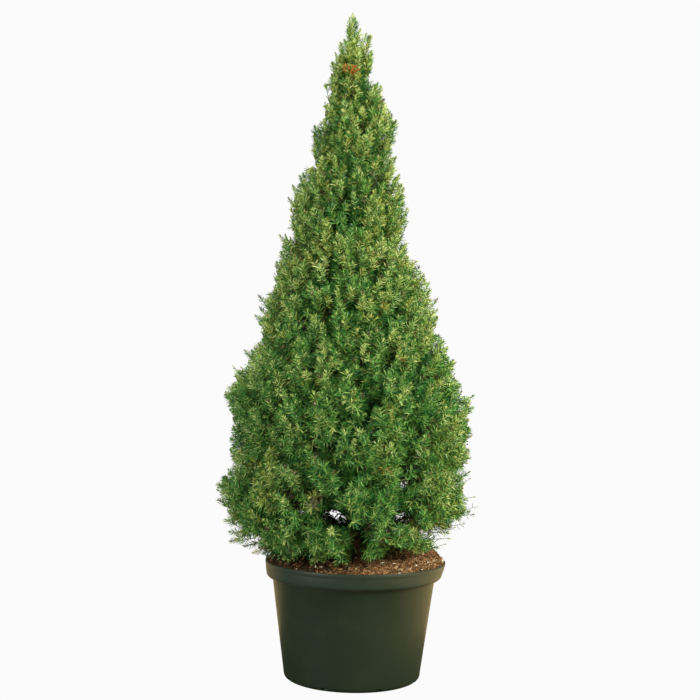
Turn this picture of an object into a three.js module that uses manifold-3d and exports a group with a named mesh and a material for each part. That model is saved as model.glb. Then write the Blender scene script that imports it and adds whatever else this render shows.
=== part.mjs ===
// A dwarf Alberta spruce growing in a round nursery pot: a thin-walled pot, the potting mix that
// fills it, a trunk that leans a little, short low boughs, and a cone of foliage masses that are
// set in tiers round the trunk. Millimetres, +Z up. The origin is the centre of the pot's flat
// underside, the viewer stands on the -Y side, and +X is the viewer's right.
import * as THREE from "three";
import { mergeVertices } from "three/addons/utils/BufferGeometryUtils.js";
import Module from "manifold-3d";

const wasm = await Module();
wasm.setup();

// ---- Driving dimensions ----

const GAP = 0.3; // clearance between pieces that touch
const MERGE = 1e-3; // vertices closer than this are one

const pot = {
  height: 181.5,
  rimRadius: 139.5,
  collarHeight: 25.5,
  collarFootRadius: 135.5,
  shoulderRise: 7, // the collar's rounded lower edge
  bodyRadius: 125.8,
  baseRadius: 105.5,
  footRadius: 98,
  cornerHeight: 8,
  lipChamfer: 0.8,
  wall: 2.6,
  floor: 4,
  segments: 32,
};

const notch = { count: 8, width: 9, height: 6, depth: 14 }; // drainage, through the pot's lower corner

const soil = {
  edgeDrop: 2, // below the rim's top, at the wall
  shoulderRadius: 126,
  shoulderRise: 2.5, // above the rim's top
  moundRadius: 76,
  moundRise: 5.5,
  seatRadius: 32, // level patch under the trunk
  seatRise: 6.5,
  roughness: 1.6,
  heap: { x: 105, y: 50, rise: 6, spread: 48 }, // banked up at the back right
};

const trunk = {
  foot: pot.height + soil.seatRise + GAP,
  tip: 1008,
  footRadius: 13,
  tipRadius: 2.2,
  taperPower: 0.85,
  flare: 8, // extra radius at the foot, at the lobes
  flareHeight: 14,
  flareLobes: 5,
  lobeDepth: 0.5, // share of the flare that is gone between two lobes
  lean: 21, // how far the tip stands to the left of the foot
  sway: 2.5,
  sides: 8,
  steps: 12,
  crowding: 1.4, // above 1 the rings lie closer together in the flare
};

const crown = { top: 1035, bottom: 191.5 };

// The crown's outline about the trunk: height above the ground, reach to the left, reach to the right.
const OUTLINE = [
  [191, 158, 136],
  [219, 194, 142],
  [250, 196, 168],
  [290, 214, 172],
  [330, 191, 178],
  [368, 187, 172],
  [418, 192, 184],
  [454, 194, 168],
  [501, 163, 143],
  [548, 147, 133],
  [595, 134, 121],
  [642, 111, 96],
  [689, 106, 80],
  [735, 93, 83],
  [782, 71, 70],
  [829, 57, 67],
  [869, 47, 70],
  [915, 34, 42],
  [947, 28, 31],
  [975, 18, 32],
  [1000, 9, 26],
  [1012, 8, 13],
  [1035, 1, 1],
];

// Each tier: the height of its middle, how many masses stand in it, and the bearing of the first.
// `crispness` sets how far a mass fills its cell: a low one leaves wide gaps between neighbours.
const TIERS = [
  { name: "leader", height: 975, count: 1, bearing: 0, crispness: 12 },
  { name: "spire", height: 896, count: 3, bearing: 20, crispness: 12 },
  { name: "top", height: 812, count: 3, bearing: 80, crispness: 12 },
  { name: "upper", height: 716, count: 5, bearing: 24, crispness: 12 },
  { name: "shoulder", height: 610, count: 5, bearing: 60, crispness: 12 },
  { name: "middle", height: 499, count: 6, bearing: 28, crispness: 12 },
  { name: "lower", height: 386, count: 6, bearing: 62, crispness: 12 },
  { name: "skirt", height: 262, count: 7, bearing: 23, crispness: 6 },
];

const mass = {
  detail: 2, // subdivisions of each mass's ball
  depthShare: 0.56, // where a mass's centre lies between the trunk and the outline
  zigzag: 0.13, // how far neighbours in a tier stand above and below its middle, by tier spacing
  lumps: 0.05, // how uneven the outline is, as a share of its reach
  lumpSize: 90,
  nearest: 0.1, // a ray from a mass's centre runs at least this far
  farthest: 400,
  march: 4,
};

const hollow = { radius: 56 }; // open space round the trunk's foot, under the lower tier

const bough = {
  lowest: 205,
  highest: 229,
  stagger: 3, // levels between one bough and the next round the trunk
  rootRadius: 6,
  tipRadius: 3.6,
  sag: 5,
  sides: 6,
  steps: 2,
};

// ---- Materials ----

function material(color, roughness) {
  return new THREE.MeshStandardMaterial({ color, roughness, metalness: 0 });
}

const potPlastic = material(0x2b3227, 0.45);
const pottingMix = material(0x5a3d28, 0.95);
const bark = material(0x5b4636, 0.9);
const foliage = material(0x4c7034, 0.85);

// ---- Solids and meshes ----

function toSolid(geometry) {
  const bare = geometry.index ? geometry.toNonIndexed() : geometry.clone();
  bare.deleteAttribute("normal");
  bare.deleteAttribute("uv");
  const merged = mergeVertices(bare, MERGE);
  return new wasm.Manifold(
    new wasm.Mesh({
      numProp: 3,
      vertProperties: merged.getAttribute("position").array,
      triVerts: new Uint32Array(merged.index.array),
    }),
  );
}

function toGeometry(solid) {
  const { vertProperties, triVerts } = solid.getMesh();
  const geometry = new THREE.BufferGeometry();
  geometry.setAttribute("position", new THREE.BufferAttribute(vertProperties, 3));
  geometry.setIndex(new THREE.BufferAttribute(triVerts, 1));
  geometry.computeVertexNormals();
  return geometry;
}

function named(name, geometry, finish) {
  const mesh = new THREE.Mesh(geometry, finish);
  mesh.name = name;
  return mesh;
}

// Moves every vertex of a geometry by a function of its place.
function reshape(geometry, move) {
  const position = geometry.getAttribute("position");
  const point = new THREE.Vector3();
  for (let i = 0; i < position.count; i++) {
    point.fromBufferAttribute(position, i);
    move(point);
    position.setXYZ(i, point.x, point.y, point.z);
  }
  return geometry;
}

// A lathe turned about Z from [radius, height] pairs.
function turned(profile) {
  const points = profile.map(([radius, height]) => new THREE.Vector2(radius, height));
  return new THREE.LatheGeometry(points, pot.segments).rotateX(Math.PI / 2);
}

// ---- Small rules that more than one piece uses ----

function lerp(a, b, t) {
  return a + (b - a) * t;
}

// Three crossing waves that make an uneven field: the way each runs, its pitch and its phase.
const WAVES = [
  { along: new THREE.Vector3(1, 0.7, 0), pitch: 1, phase: 2.1 },
  { along: new THREE.Vector3(0, 1, -0.6), pitch: 1.3, phase: 4.7 },
  { along: new THREE.Vector3(0.5, 0, 1), pitch: 0.8, phase: 1.3 },
];

// A smooth uneven field between about -1 and 1, the same each time for the same place and seed.
function unevenness(point, wavelength, seed) {
  const turn = (2 * Math.PI) / wavelength;
  const heights = WAVES.map((wave) =>
    Math.sin(turn * wave.pitch * wave.along.dot(point) + wave.phase * seed),
  );
  return heights.reduce((sum, height) => sum + height, 0) / WAVES.length;
}

// The trunk's centre line: a steady lean to the left with one slow sway.
function trunkAxis(height) {
  const t = (height - trunk.foot) / (crown.top - trunk.foot);
  const swayed = trunk.sway * Math.sin(2 * Math.PI * t);
  return new THREE.Vector3(-trunk.lean * t + swayed, swayed / 2, height);
}

// How far the crown reaches from the trunk at a height, in one direction round it.
function outlineRadius(height, cosine) {
  if (height <= OUTLINE[0][0] || height >= OUTLINE.at(-1)[0]) return 0;
  const above = OUTLINE.findIndex((row) => row[0] > height);
  const [lowHeight, lowLeft, lowRight] = OUTLINE[above - 1];
  const [highHeight, highLeft, highRight] = OUTLINE[above];
  const t = (height - lowHeight) / (highHeight - lowHeight);
  const left = lerp(lowLeft, highLeft, t);
  const right = lerp(lowRight, highRight, t);
  return lerp(left, right, (1 + cosine) / 2);
}

// ---- Pot ----

function potProfile() {
  const shoulder = pot.height - pot.collarHeight;
  const corner = pot.baseRadius - pot.footRadius;
  const rounded = [
    pot.footRadius + corner * Math.SQRT1_2,
    pot.cornerHeight * (1 - Math.SQRT1_2),
  ];
  const outside = [
    [0, 0],
    [pot.footRadius, 0],
    rounded,
    [pot.baseRadius, pot.cornerHeight],
    [pot.bodyRadius, shoulder],
    [pot.collarFootRadius - pot.shoulderRise / 2, shoulder + pot.shoulderRise / 4],
    [pot.collarFootRadius, shoulder + pot.shoulderRise],
    [pot.rimRadius, pot.height - pot.lipChamfer],
    [pot.rimRadius - pot.lipChamfer, pot.height],
  ];
  return [...outside, ...innerWall(0).reverse()];
}

// The pot's inner face from the centre of its floor to its lip, moved inwards by a clearance.
function innerWall(clearance) {
  const shoulder = pot.height - pot.collarHeight;
  const inset = pot.wall + clearance;
  return [
    [0, pot.floor + clearance],
    [pot.footRadius - clearance, pot.floor + clearance],
    [pot.baseRadius - inset, pot.cornerHeight + clearance],
    [pot.bodyRadius - inset, shoulder + clearance],
    [pot.collarFootRadius - inset, shoulder + pot.shoulderRise + clearance],
    [pot.rimRadius - inset, pot.height],
  ];
}

function makePot() {
  let solid = toSolid(turned(potProfile()));
  for (let i = 0; i < notch.count; i++) {
    const cutter = new THREE.BoxGeometry(notch.depth, notch.width, 2 * notch.height);
    cutter.translate(pot.baseRadius, 0, 0);
    cutter.rotateZ(((i + 0.5) / notch.count) * 2 * Math.PI);
    solid = solid.subtract(toSolid(cutter));
  }
  return named("pot", toGeometry(solid), potPlastic);
}

// ---- Potting mix ----

function makeSoil() {
  const wall = innerWall(GAP);
  const edgeHeight = pot.height - soil.edgeDrop;
  const [edgeRadius] = wall.pop();
  const profile = [
    ...wall,
    [edgeRadius - GAP, edgeHeight],
    [soil.shoulderRadius, pot.height + soil.shoulderRise],
    [soil.moundRadius, pot.height + soil.moundRise],
    [soil.seatRadius, pot.height + soil.seatRise],
    [0, pot.height + soil.seatRise],
  ];
  const geometry = reshape(turned(profile), (point) => {
    const radius = Math.hypot(point.x, point.y);
    const loose = point.z > edgeHeight + 1 && radius > soil.seatRadius + 1;
    if (!loose) return;
    const away = Math.hypot(point.x - soil.heap.x, point.y - soil.heap.y) / soil.heap.spread;
    point.z += soil.roughness * unevenness(point, soil.moundRadius, 1);
    point.z += soil.heap.rise * Math.exp(-away * away);
  });
  return named("potting_mix", toGeometry(toSolid(geometry)), pottingMix);
}

// ---- Trunk and boughs ----

// A round limb: `centre` and `radius` give its line and thickness at t from 0 to 1, and `across`
// holds two unit vectors square to it.
function limb(centre, radius, across, sides, steps) {
  const tube = new THREE.CylinderGeometry(1, 1, 1, sides, steps);
  return reshape(tube, (point) => {
    const t = point.y + 0.5;
    const bearing = Math.atan2(point.x, point.z);
    const spread = Math.hypot(point.x, point.z) * radius(t, bearing);
    point.copy(centre(t));
    point.addScaledVector(across[0], spread * Math.sin(bearing));
    point.addScaledVector(across[1], spread * Math.cos(bearing));
  });
}

function trunkRadius(t, bearing) {
  const height = t * (trunk.tip - trunk.foot);
  const taper = lerp(trunk.footRadius, trunk.tipRadius, Math.pow(t, trunk.taperPower));
  const flare = trunk.flare * Math.exp(-height / trunk.flareHeight);
  const lobe = (1 + Math.cos(trunk.flareLobes * bearing)) / 2;
  return taper + flare * lerp(1 - trunk.lobeDepth, 1, lobe);
}

// The trunk, or with a clearance the slightly fatter one that other pieces are cut round.
function trunkSolid(clearance) {
  const eased = (t) => Math.pow(t, trunk.crowding);
  const across = [new THREE.Vector3(0, 1, 0), new THREE.Vector3(1, 0, 0)];
  const centre = (t) => trunkAxis(lerp(trunk.foot, trunk.tip + clearance, eased(t)));
  const radius = (t, bearing) => trunkRadius(eased(t), bearing) + clearance;
  return toSolid(limb(centre, radius, across, trunk.sides, trunk.steps));
}

function boughSolid(from, to) {
  const along = new THREE.Vector3().subVectors(to, from).normalize();
  const side = new THREE.Vector3().crossVectors(new THREE.Vector3(0, 0, 1), along).normalize();
  const up = new THREE.Vector3().crossVectors(along, side);
  const centre = (t) => {
    const point = new THREE.Vector3().lerpVectors(from, to, t);
    point.z -= bough.sag * Math.sin(Math.PI * t);
    return point;
  };
  const radius = (t) => lerp(bough.rootRadius, bough.tipRadius, t);
  return toSolid(limb(centre, radius, [up, side], bough.sides, bough.steps));
}

// ---- Foliage masses ----

// The centres of all masses, tier by tier. Those of one tier stand at one distance from the trunk,
// so the planes between them all pass through it.
function massSeeds() {
  return TIERS.flatMap((tier, row) => {
    const below = TIERS[row + 1] ?? { height: crown.bottom };
    const reach = outlineRadius(tier.height, 0);
    const distance = tier.count > 1 ? mass.depthShare * reach : 0;
    const step = mass.zigzag * (tier.height - below.height);
    return Array.from({ length: tier.count }, (_, i) => {
      const bearing = THREE.MathUtils.degToRad(tier.bearing) + (2 * Math.PI * i) / tier.count;
      const rise = tier.count > 1 ? step * (i % 2 === 0 ? 1 : -1) : 0;
      const outwards = new THREE.Vector3(Math.cos(bearing), Math.sin(bearing), 0);
      const centre = trunkAxis(tier.height + rise).addScaledVector(outwards, distance);
      return { name: `${tier.name}_mass_${i + 1}`, tier, centre, outwards, distance };
    });
  });
}

// How far a ray from a mass's centre runs before it leaves the crown's outline.
function reachOfOutline(centre, direction, seed) {
  const point = new THREE.Vector3();
  for (let along = mass.march; along < mass.farthest; along += mass.march) {
    point.copy(centre).addScaledVector(direction, along);
    const axis = trunkAxis(point.z);
    const radius = Math.hypot(point.x - axis.x, point.y - axis.y);
    const cosine = radius > 0 ? (point.x - axis.x) / radius : 0;
    const lumpy = 1 + mass.lumps * unevenness(point, mass.lumpSize, seed);
    if (radius >= outlineRadius(point.z, cosine) * lumpy) return along;
  }
  return mass.farthest;
}

// How far a ray runs before it crosses a plane at `offset` along `normal`.
function reachOfPlane(direction, normal, offset) {
  const facing = direction.dot(normal);
  return facing > 0 ? Math.min(Math.max(offset, mass.nearest) / facing, mass.farthest) : mass.farthest;
}

// One uneven ball of foliage. Every limit is a plane or the outline, so the ball stays inside its
// own cell, and a soft minimum rounds it where limits meet. One corner of the ball is aimed: at
// the trunk, which it reaches, or straight up for the leader, whose tip is the crown's top.
function massSolid(seed, seeds, order, growth) {
  const leader = seed.distance === 0;
  const skirt = seed.tier.name === "skirt";
  const inwards = seed.outwards.clone().negate();
  const aim = leader ? new THREE.Vector3(0, 0, 1) : inwards;
  const aimedReach = leader ? crown.top - seed.centre.z : seed.distance;
  const ball = new THREE.IcosahedronGeometry(1, mass.detail);
  const firstCorner = new THREE.Vector3().fromBufferAttribute(ball.getAttribute("position"), 0);
  firstCorner.normalize();
  const turn = new THREE.Quaternion().setFromUnitVectors(firstCorner, aim);
  const planes = seeds
    .filter((other) => other !== seed)
    .map((other) => {
      const normal = new THREE.Vector3().subVectors(other.centre, seed.centre);
      const offset = normal.length() / 2 - GAP;
      return { normal: normal.normalize(), offset };
    });
  planes.push({ normal: new THREE.Vector3(0, 0, -1), offset: seed.centre.z - crown.bottom });
  if (skirt) planes.push({ normal: inwards, offset: seed.distance - hollow.radius });

  const geometry = reshape(ball, (point) => {
    const atFirstCorner = point.distanceTo(firstCorner) < MERGE;
    const direction = point.clone().normalize().applyQuaternion(turn);
    const reaches = planes.map(({ normal, offset }) => reachOfPlane(direction, normal, offset));
    reaches.push(reachOfOutline(seed.centre, direction, order));
    const power = seed.tier.crispness;
    const sum = reaches.reduce((total, reach) => total + Math.pow(reach, -power), 0);
    let reach = Math.pow(sum, -1 / power);
    if (!skirt && atFirstCorner) reach = aimedReach;
    point.copy(seed.centre).addScaledVector(direction, reach + growth);
  });
  return toSolid(geometry);
}

// ---- The plant in its pot ----

const plant = new THREE.Group();
plant.add(makePot(), makeSoil());
plant.add(named("trunk", toGeometry(trunkSolid(0)), bark));

const trunkCutter = trunkSolid(GAP);
const seeds = massSeeds();
seeds.forEach((seed, order) => {
  const solid = massSolid(seed, seeds, order, 0).subtract(trunkCutter);
  plant.add(named(seed.name, toGeometry(solid), foliage));
});

const skirtSeeds = seeds.filter((seed) => seed.tier.name === "skirt");
skirtSeeds.forEach((seed, i) => {
  const level = (bough.stagger * i) % skirtSeeds.length;
  const height = lerp(bough.lowest, bough.highest, level / (skirtSeeds.length - 1));
  const from = trunkAxis(height);
  const grown = massSolid(seed, seeds, seeds.indexOf(seed), 2 * GAP);
  const solid = boughSolid(from, seed.centre).subtract(trunkCutter).subtract(grown);
  plant.add(named(`skirt_bough_${i + 1}`, toGeometry(solid), bark));
});

export default plant;
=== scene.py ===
"""A dwarf Alberta spruce in a round nursery pot.

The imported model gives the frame: pot, potting mix, trunk, low boughs and foliage masses. This
script turns the pot and the mix into finished pieces, wraps trunk and boughs in bark, and grows
boughs, branchlets, shoots and needles into the masses by one seeded rule. Metres, +Z up, the
viewer on the -Y side.
"""

import math

import bmesh
import bpy
import numpy as np
from mathutils import Matrix, Vector, noise
from mathutils.bvhtree import BVHTree
from mathutils.kdtree import KDTree


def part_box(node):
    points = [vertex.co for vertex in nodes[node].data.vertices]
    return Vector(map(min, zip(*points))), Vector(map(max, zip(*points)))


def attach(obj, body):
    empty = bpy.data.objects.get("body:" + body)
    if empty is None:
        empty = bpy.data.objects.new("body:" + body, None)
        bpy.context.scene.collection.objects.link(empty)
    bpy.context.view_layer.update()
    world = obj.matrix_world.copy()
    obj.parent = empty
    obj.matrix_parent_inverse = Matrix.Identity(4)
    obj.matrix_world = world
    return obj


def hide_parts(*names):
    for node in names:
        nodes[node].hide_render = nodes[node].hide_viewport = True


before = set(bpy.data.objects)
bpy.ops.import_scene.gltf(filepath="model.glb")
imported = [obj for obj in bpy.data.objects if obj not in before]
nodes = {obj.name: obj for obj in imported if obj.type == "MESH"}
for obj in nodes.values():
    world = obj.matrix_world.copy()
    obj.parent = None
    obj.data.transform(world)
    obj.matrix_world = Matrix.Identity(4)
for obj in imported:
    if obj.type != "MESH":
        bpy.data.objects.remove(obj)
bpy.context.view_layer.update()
random = np.random.default_rng(24)

UP = np.array([0.0, 0.0, 1.0])
FULL_TURN = 2 * math.pi
GOLDEN_ANGLE = math.pi * (3 - math.sqrt(5))


def new_object(name, data):
    """An object in the scene's own collection."""
    placed = bpy.data.objects.new(name, data)
    bpy.context.scene.collection.objects.link(placed)
    return placed


# ---- Camera, light and floor ----

VIEW_DISTANCE = 2.0
VIEW_HEIGHT = 0.50645
VIEW_SIDE = -0.0121
VIEW_ROLL = math.radians(1.11)
LENS = 66.22
EYE = np.array([VIEW_SIDE, -VIEW_DISTANCE, VIEW_HEIGHT])


def make_camera():
    camera = new_object("camera", bpy.data.cameras.new("camera"))
    camera.data.lens = LENS
    right = Vector((math.cos(VIEW_ROLL), 0, math.sin(VIEW_ROLL)))
    up = Vector((-math.sin(VIEW_ROLL), 0, math.cos(VIEW_ROLL)))
    turn = Matrix((right, up, right.cross(up))).transposed().to_4x4()
    camera.matrix_world = Matrix.Translation(EYE) @ turn
    bpy.context.scene.camera = camera


def make_light(name, place, target, size, power, color, gloss=1.0):
    light = bpy.data.lights.new(name, "AREA")
    light.size = size
    light.energy = power
    light.color = color
    light.specular_factor = gloss
    lamp = new_object(name, light)
    lamp.location = place
    lamp.rotation_euler = (Vector(target) - Vector(place)).to_track_quat("-Z", "Y").to_euler()


BACKDROP = (0.968, 0.964, 0.966, 1)  # as the camera sees it
DAYLIGHT = (0.63, 0.67, 0.58, 1)  # as it falls on the plant
SURROUNDINGS = (0.20, 0.17, 0.10, 1)  # as the pot mirrors it


def make_world():
    """An even pale backdrop, soft daylight, and warm surroundings in mirrored rays."""
    world = bpy.data.worlds.new("studio")
    bpy.context.scene.world = world
    world.use_nodes = True
    tree = world.node_tree
    sky = tree.nodes["Background"]
    ray = tree.nodes.new("ShaderNodeLightPath")
    color = DAYLIGHT
    for ray_kind, seen in (("Is Glossy Ray", SURROUNDINGS), ("Is Camera Ray", BACKDROP)):
        choice = tree.nodes.new("ShaderNodeMix")
        choice.data_type = "RGBA"
        tree.links.new(ray.outputs[ray_kind], choice.inputs["Factor"])
        choice.inputs[7].default_value = seen
        if isinstance(color, tuple):
            choice.inputs[6].default_value = color
        else:
            tree.links.new(color, choice.inputs[6])
        color = choice.outputs[2]
    tree.links.new(color, sky.inputs["Color"])


def lay_sheet(name, corners, height, color):
    """A level matt sheet. The camera sees it as the backdrop, and the pot mirrors it as it is."""
    mesh = bpy.data.meshes.new(name)
    mesh.from_pydata([(x, y, height) for x, y in corners], [], [range(len(corners))])
    sheet = new_object(name, mesh)
    paint = bpy.data.materials.new(name + "_paint")
    paint.use_nodes = True
    tree = paint.node_tree
    shader = tree.nodes["Principled BSDF"]
    shader.inputs["Base Color"].default_value = color
    shader.inputs["Roughness"].default_value = 0.9
    shader.inputs["Specular IOR Level"].default_value = 0.0
    backdrop = tree.nodes.new("ShaderNodeEmission")
    backdrop.inputs["Color"].default_value = BACKDROP
    ray = tree.nodes.new("ShaderNodeLightPath")
    choice = tree.nodes.new("ShaderNodeMixShader")
    tree.links.new(ray.outputs["Is Camera Ray"], choice.inputs["Fac"])
    tree.links.new(shader.outputs["BSDF"], choice.inputs[1])
    tree.links.new(backdrop.outputs["Emission"], choice.inputs[2])
    tree.links.new(choice.outputs["Shader"], tree.nodes["Material Output"].inputs["Surface"])
    mesh.materials.append(paint)


FLOOR_RADIUS = 9
FLOOR_SIDES = 96
FLOOR_COLOR = (0.74, 0.54, 0.28, 1)
MAT_CORNERS = [(-4, -4), (0.30, -4), (0.30, 0.22), (-4, 0.22)]
MAT_LIFT = 0.0002
MAT_COLOR = (0.07, 0.08, 0.06, 1)


def make_floor():
    """A warm floor, with a dark mat on it before the plant, so that only the pot's edges shine."""
    bearings = [FULL_TURN * i / FLOOR_SIDES for i in range(FLOOR_SIDES)]
    rim = [(FLOOR_RADIUS * math.cos(a), FLOOR_RADIUS * math.sin(a)) for a in bearings]
    lay_sheet("studio_floor", rim, 0.0, FLOOR_COLOR)
    lay_sheet("dark_mat", MAT_CORNERS, MAT_LIFT, MAT_COLOR)


CROWN_MIDDLE = (0, 0, 0.5)
POT_MIDDLE = (0, 0, 0.1)

bpy.context.scene.view_settings.view_transform = "Standard"
make_camera()
make_world()
make_floor()
make_light("key_light", (2.1, -1.3, 1.6), CROWN_MIDDLE, 0.8, 100, (0.98, 0.98, 0.88))
make_light("fill_light", (-1.9, -1.6, 0.5), CROWN_MIDDLE, 1.2, 44, (0.97, 0.99, 0.94), 0.0)
make_light("top_light", (0, 0.2, 2.8), CROWN_MIDDLE, 1.2, 60, (1.0, 1.0, 0.95))
make_light("warm_card_right", (1.1, 0.25, 0.2), POT_MIDDLE, 0.6, 2.0, (1.0, 0.64, 0.27))


# ---- Materials ----


def linear(red, green, blue):
    """A colour given in screen values from 0 to 255, as the shader wants it."""
    channels = np.array([red, green, blue]) / 255
    low = channels / 12.92
    high = ((channels + 0.055) / 1.055) ** 2.4
    return (*np.where(channels <= 0.04045, low, high), 1.0)


def new_group(name, inputs, outputs):
    """A shader node group with its sockets. Inputs are (name, default) pairs."""
    group = bpy.data.node_groups.new(name, "ShaderNodeTree")
    for label, default in inputs:
        socket = group.interface.new_socket(label, in_out="INPUT", socket_type="NodeSocketFloat")
        socket.default_value = default
    for label, kind in outputs:
        group.interface.new_socket(label, in_out="OUTPUT", socket_type=kind)
    return group, group.nodes.new("NodeGroupInput"), group.nodes.new("NodeGroupOutput")


def wire(tree, links):
    """Each link is a node, its output, another node and that one's input."""
    for source, output, target, socket in links:
        tree.links.new(source.outputs[output], target.inputs[socket])


def make_mottle_group():
    """Cloudy patches with a soft edge: a mask that rises from 0 to 1."""
    group, given, result = new_group(
        "mottle",
        [("Scale", 10.0), ("Detail", 3.0), ("Low", 0.4), ("High", 0.6)],
        [("Mask", "NodeSocketFloat")],
    )
    place = group.nodes.new("ShaderNodeTexCoord")
    cloud = group.nodes.new("ShaderNodeTexNoise")
    edge = group.nodes.new("ShaderNodeMapRange")
    edge.interpolation_type = "SMOOTHSTEP"
    wire(group, [
        (place, "Object", cloud, "Vector"),
        (given, "Scale", cloud, "Scale"),
        (given, "Detail", cloud, "Detail"),
        (cloud, "Fac", edge, "Value"),
        (given, "Low", edge, "From Min"),
        (given, "High", edge, "From Max"),
        (edge, "Result", result, "Mask"),
    ])
    return group


def make_grain_group():
    """Fine uneven relief, stretched along Z by `Stretch`."""
    group, given, result = new_group(
        "grain",
        [("Scale", 400.0), ("Stretch", 1.0), ("Strength", 0.2), ("Depth", 0.0005)],
        [("Normal", "NodeSocketVector")],
    )
    place = group.nodes.new("ShaderNodeTexCoord")
    axes = group.nodes.new("ShaderNodeSeparateXYZ")
    squeeze = group.nodes.new("ShaderNodeMath")
    squeeze.operation = "DIVIDE"
    stretched = group.nodes.new("ShaderNodeCombineXYZ")
    pits = group.nodes.new("ShaderNodeTexNoise")
    pits.inputs["Detail"].default_value = 5
    relief = group.nodes.new("ShaderNodeBump")
    wire(group, [
        (place, "Object", axes, "Vector"),
        (axes, "X", stretched, "X"),
        (axes, "Y", stretched, "Y"),
        (axes, "Z", squeeze, 0),
        (given, "Stretch", squeeze, 1),
        (squeeze, "Value", stretched, "Z"),
        (stretched, "Vector", pits, "Vector"),
        (given, "Scale", pits, "Scale"),
        (pits, "Fac", relief, "Height"),
        (given, "Strength", relief, "Strength"),
        (given, "Depth", relief, "Distance"),
        (relief, "Normal", result, "Normal"),
    ])
    return group


mottle_group = make_mottle_group()
grain_group = make_grain_group()


class Finish:
    """A material being put together around one Principled shader."""

    def __init__(self, name, roughness, specular=0.5):
        self.material = bpy.data.materials.new(name)
        self.material.use_nodes = True
        self.tree = self.material.node_tree
        self.shader = self.tree.nodes["Principled BSDF"]
        self.shader.inputs["Roughness"].default_value = roughness
        self.shader.inputs["Specular IOR Level"].default_value = specular

    def link(self, source, target):
        self.tree.links.new(source, target)

    def place_group(self, group, values):
        node = self.tree.nodes.new("ShaderNodeGroup")
        node.node_tree = group
        for label, value in values.items():
            node.inputs[label].default_value = value
        return node

    def mottle(self, scale, low, high, detail=3.0):
        values = {"Scale": scale, "Detail": detail, "Low": low, "High": high}
        return self.place_group(mottle_group, values).outputs["Mask"]

    def grain(self, scale, strength, depth, stretch=1.0):
        values = {"Scale": scale, "Strength": strength, "Depth": depth, "Stretch": stretch}
        node = self.place_group(grain_group, values)
        self.link(node.outputs["Normal"], self.shader.inputs["Normal"])

    def rising(self, low, high):
        """A mask that rises from 0 to 1 between two heights."""
        place = self.tree.nodes.new("ShaderNodeTexCoord")
        axes = self.tree.nodes.new("ShaderNodeSeparateXYZ")
        edge = self.tree.nodes.new("ShaderNodeMapRange")
        edge.interpolation_type = "SMOOTHSTEP"
        edge.inputs["From Min"].default_value = low
        edge.inputs["From Max"].default_value = high
        self.link(place.outputs["Object"], axes.inputs["Vector"])
        self.link(axes.outputs["Z"], edge.inputs["Value"])
        return edge.outputs["Result"]

    def mix(self, mask, low, high):
        """A colour between two, each a plain colour or another mix's output."""
        node = self.tree.nodes.new("ShaderNodeMix")
        node.data_type = "RGBA"
        self.link(mask, node.inputs["Factor"])
        for socket, color in ((node.inputs[6], low), (node.inputs[7], high)):
            if isinstance(color, tuple):
                socket.default_value = color
            else:
                self.link(color, socket)
        return node.outputs[2]

    def paint(self, color):
        self.link(color, self.shader.inputs["Base Color"])

    def between(self, mask, low, high):
        """A value that runs from low to high with a mask."""
        node = self.tree.nodes.new("ShaderNodeMapRange")
        node.inputs["To Min"].default_value = low
        node.inputs["To Max"].default_value = high
        self.link(mask, node.inputs["Value"])
        return node.outputs["Result"]


POT_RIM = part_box("pot")[1].x  # its radius
POT_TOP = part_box("pot")[1].z
COLLAR_HEIGHT = 0.0255
COLLAR_FOOT = POT_TOP - COLLAR_HEIGHT


def pot_plastic():
    finish = Finish("nursery_plastic", 0.42, 0.3)
    cloudy = finish.mottle(7.0, 0.35, 0.7)
    dusty = finish.mottle(34.0, 0.52, 0.8, 6.0)
    wall = finish.mix(cloudy, linear(33, 43, 31), linear(37, 46, 33))
    # Painted light: the collar, and fading in, the wall just under its foot, are painted lighter
    # than the wall below, lifting the shade under the collar's overhang.
    painted_light_collar = finish.rising(COLLAR_FOOT - 0.004, COLLAR_FOOT + 0.003)
    base = finish.mix(painted_light_collar, wall, linear(41, 52, 43))
    finish.paint(finish.mix(dusty, base, linear(42, 48, 34)))
    finish.link(finish.between(cloudy, 0.38, 0.46), finish.shader.inputs["Roughness"])
    finish.shader.inputs["Sheen Weight"].default_value = 0.12
    finish.shader.inputs["Sheen Roughness"].default_value = 0.3
    finish.shader.inputs["Sheen Tint"].default_value = linear(214, 176, 110)
    finish.grain(900.0, 0.1, 0.0003)
    return finish.material


def earthy_finish(name, roughness, specular, patches, pair, flecks, fleck_color, grain):
    """A rough finish in two colours by patches, with flecks of a third."""
    finish = Finish(name, roughness, specular)
    base = finish.mix(finish.mottle(*patches), *pair)
    finish.paint(finish.mix(finish.mottle(*flecks), base, fleck_color))
    finish.grain(*grain)
    return finish.material


def bark_finish():
    pair = linear(82, 62, 45), linear(122, 100, 78)
    patches, flecks, grain = (60, 0.35, 0.65, 4), (320, 0.5, 0.7, 2), (260, 0.7, 0.0012, 3)
    return earthy_finish(
        "scaly_bark", 0.85, 0.25, patches, pair, flecks, linear(56, 42, 32), grain
    )


def soil_finish():
    pair = linear(84, 58, 34), linear(118, 86, 54)
    patches, flecks, grain = (45, 0.35, 0.65, 5), (300, 0.45, 0.7, 3), (380, 0.8, 0.002)
    return earthy_finish(
        "moist_mix", 0.95, 0.2, patches, pair, flecks, linear(144, 108, 72), grain
    )


def plain(name, color, roughness=0.6, specular=0.35):
    """A finish for many small faces: one colour each, dealt out by spray or by crumb."""
    finish = Finish(name, roughness, specular)
    finish.shader.inputs["Base Color"].default_value = color
    return finish.material


# ---- Meshes from arrays ----


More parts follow.
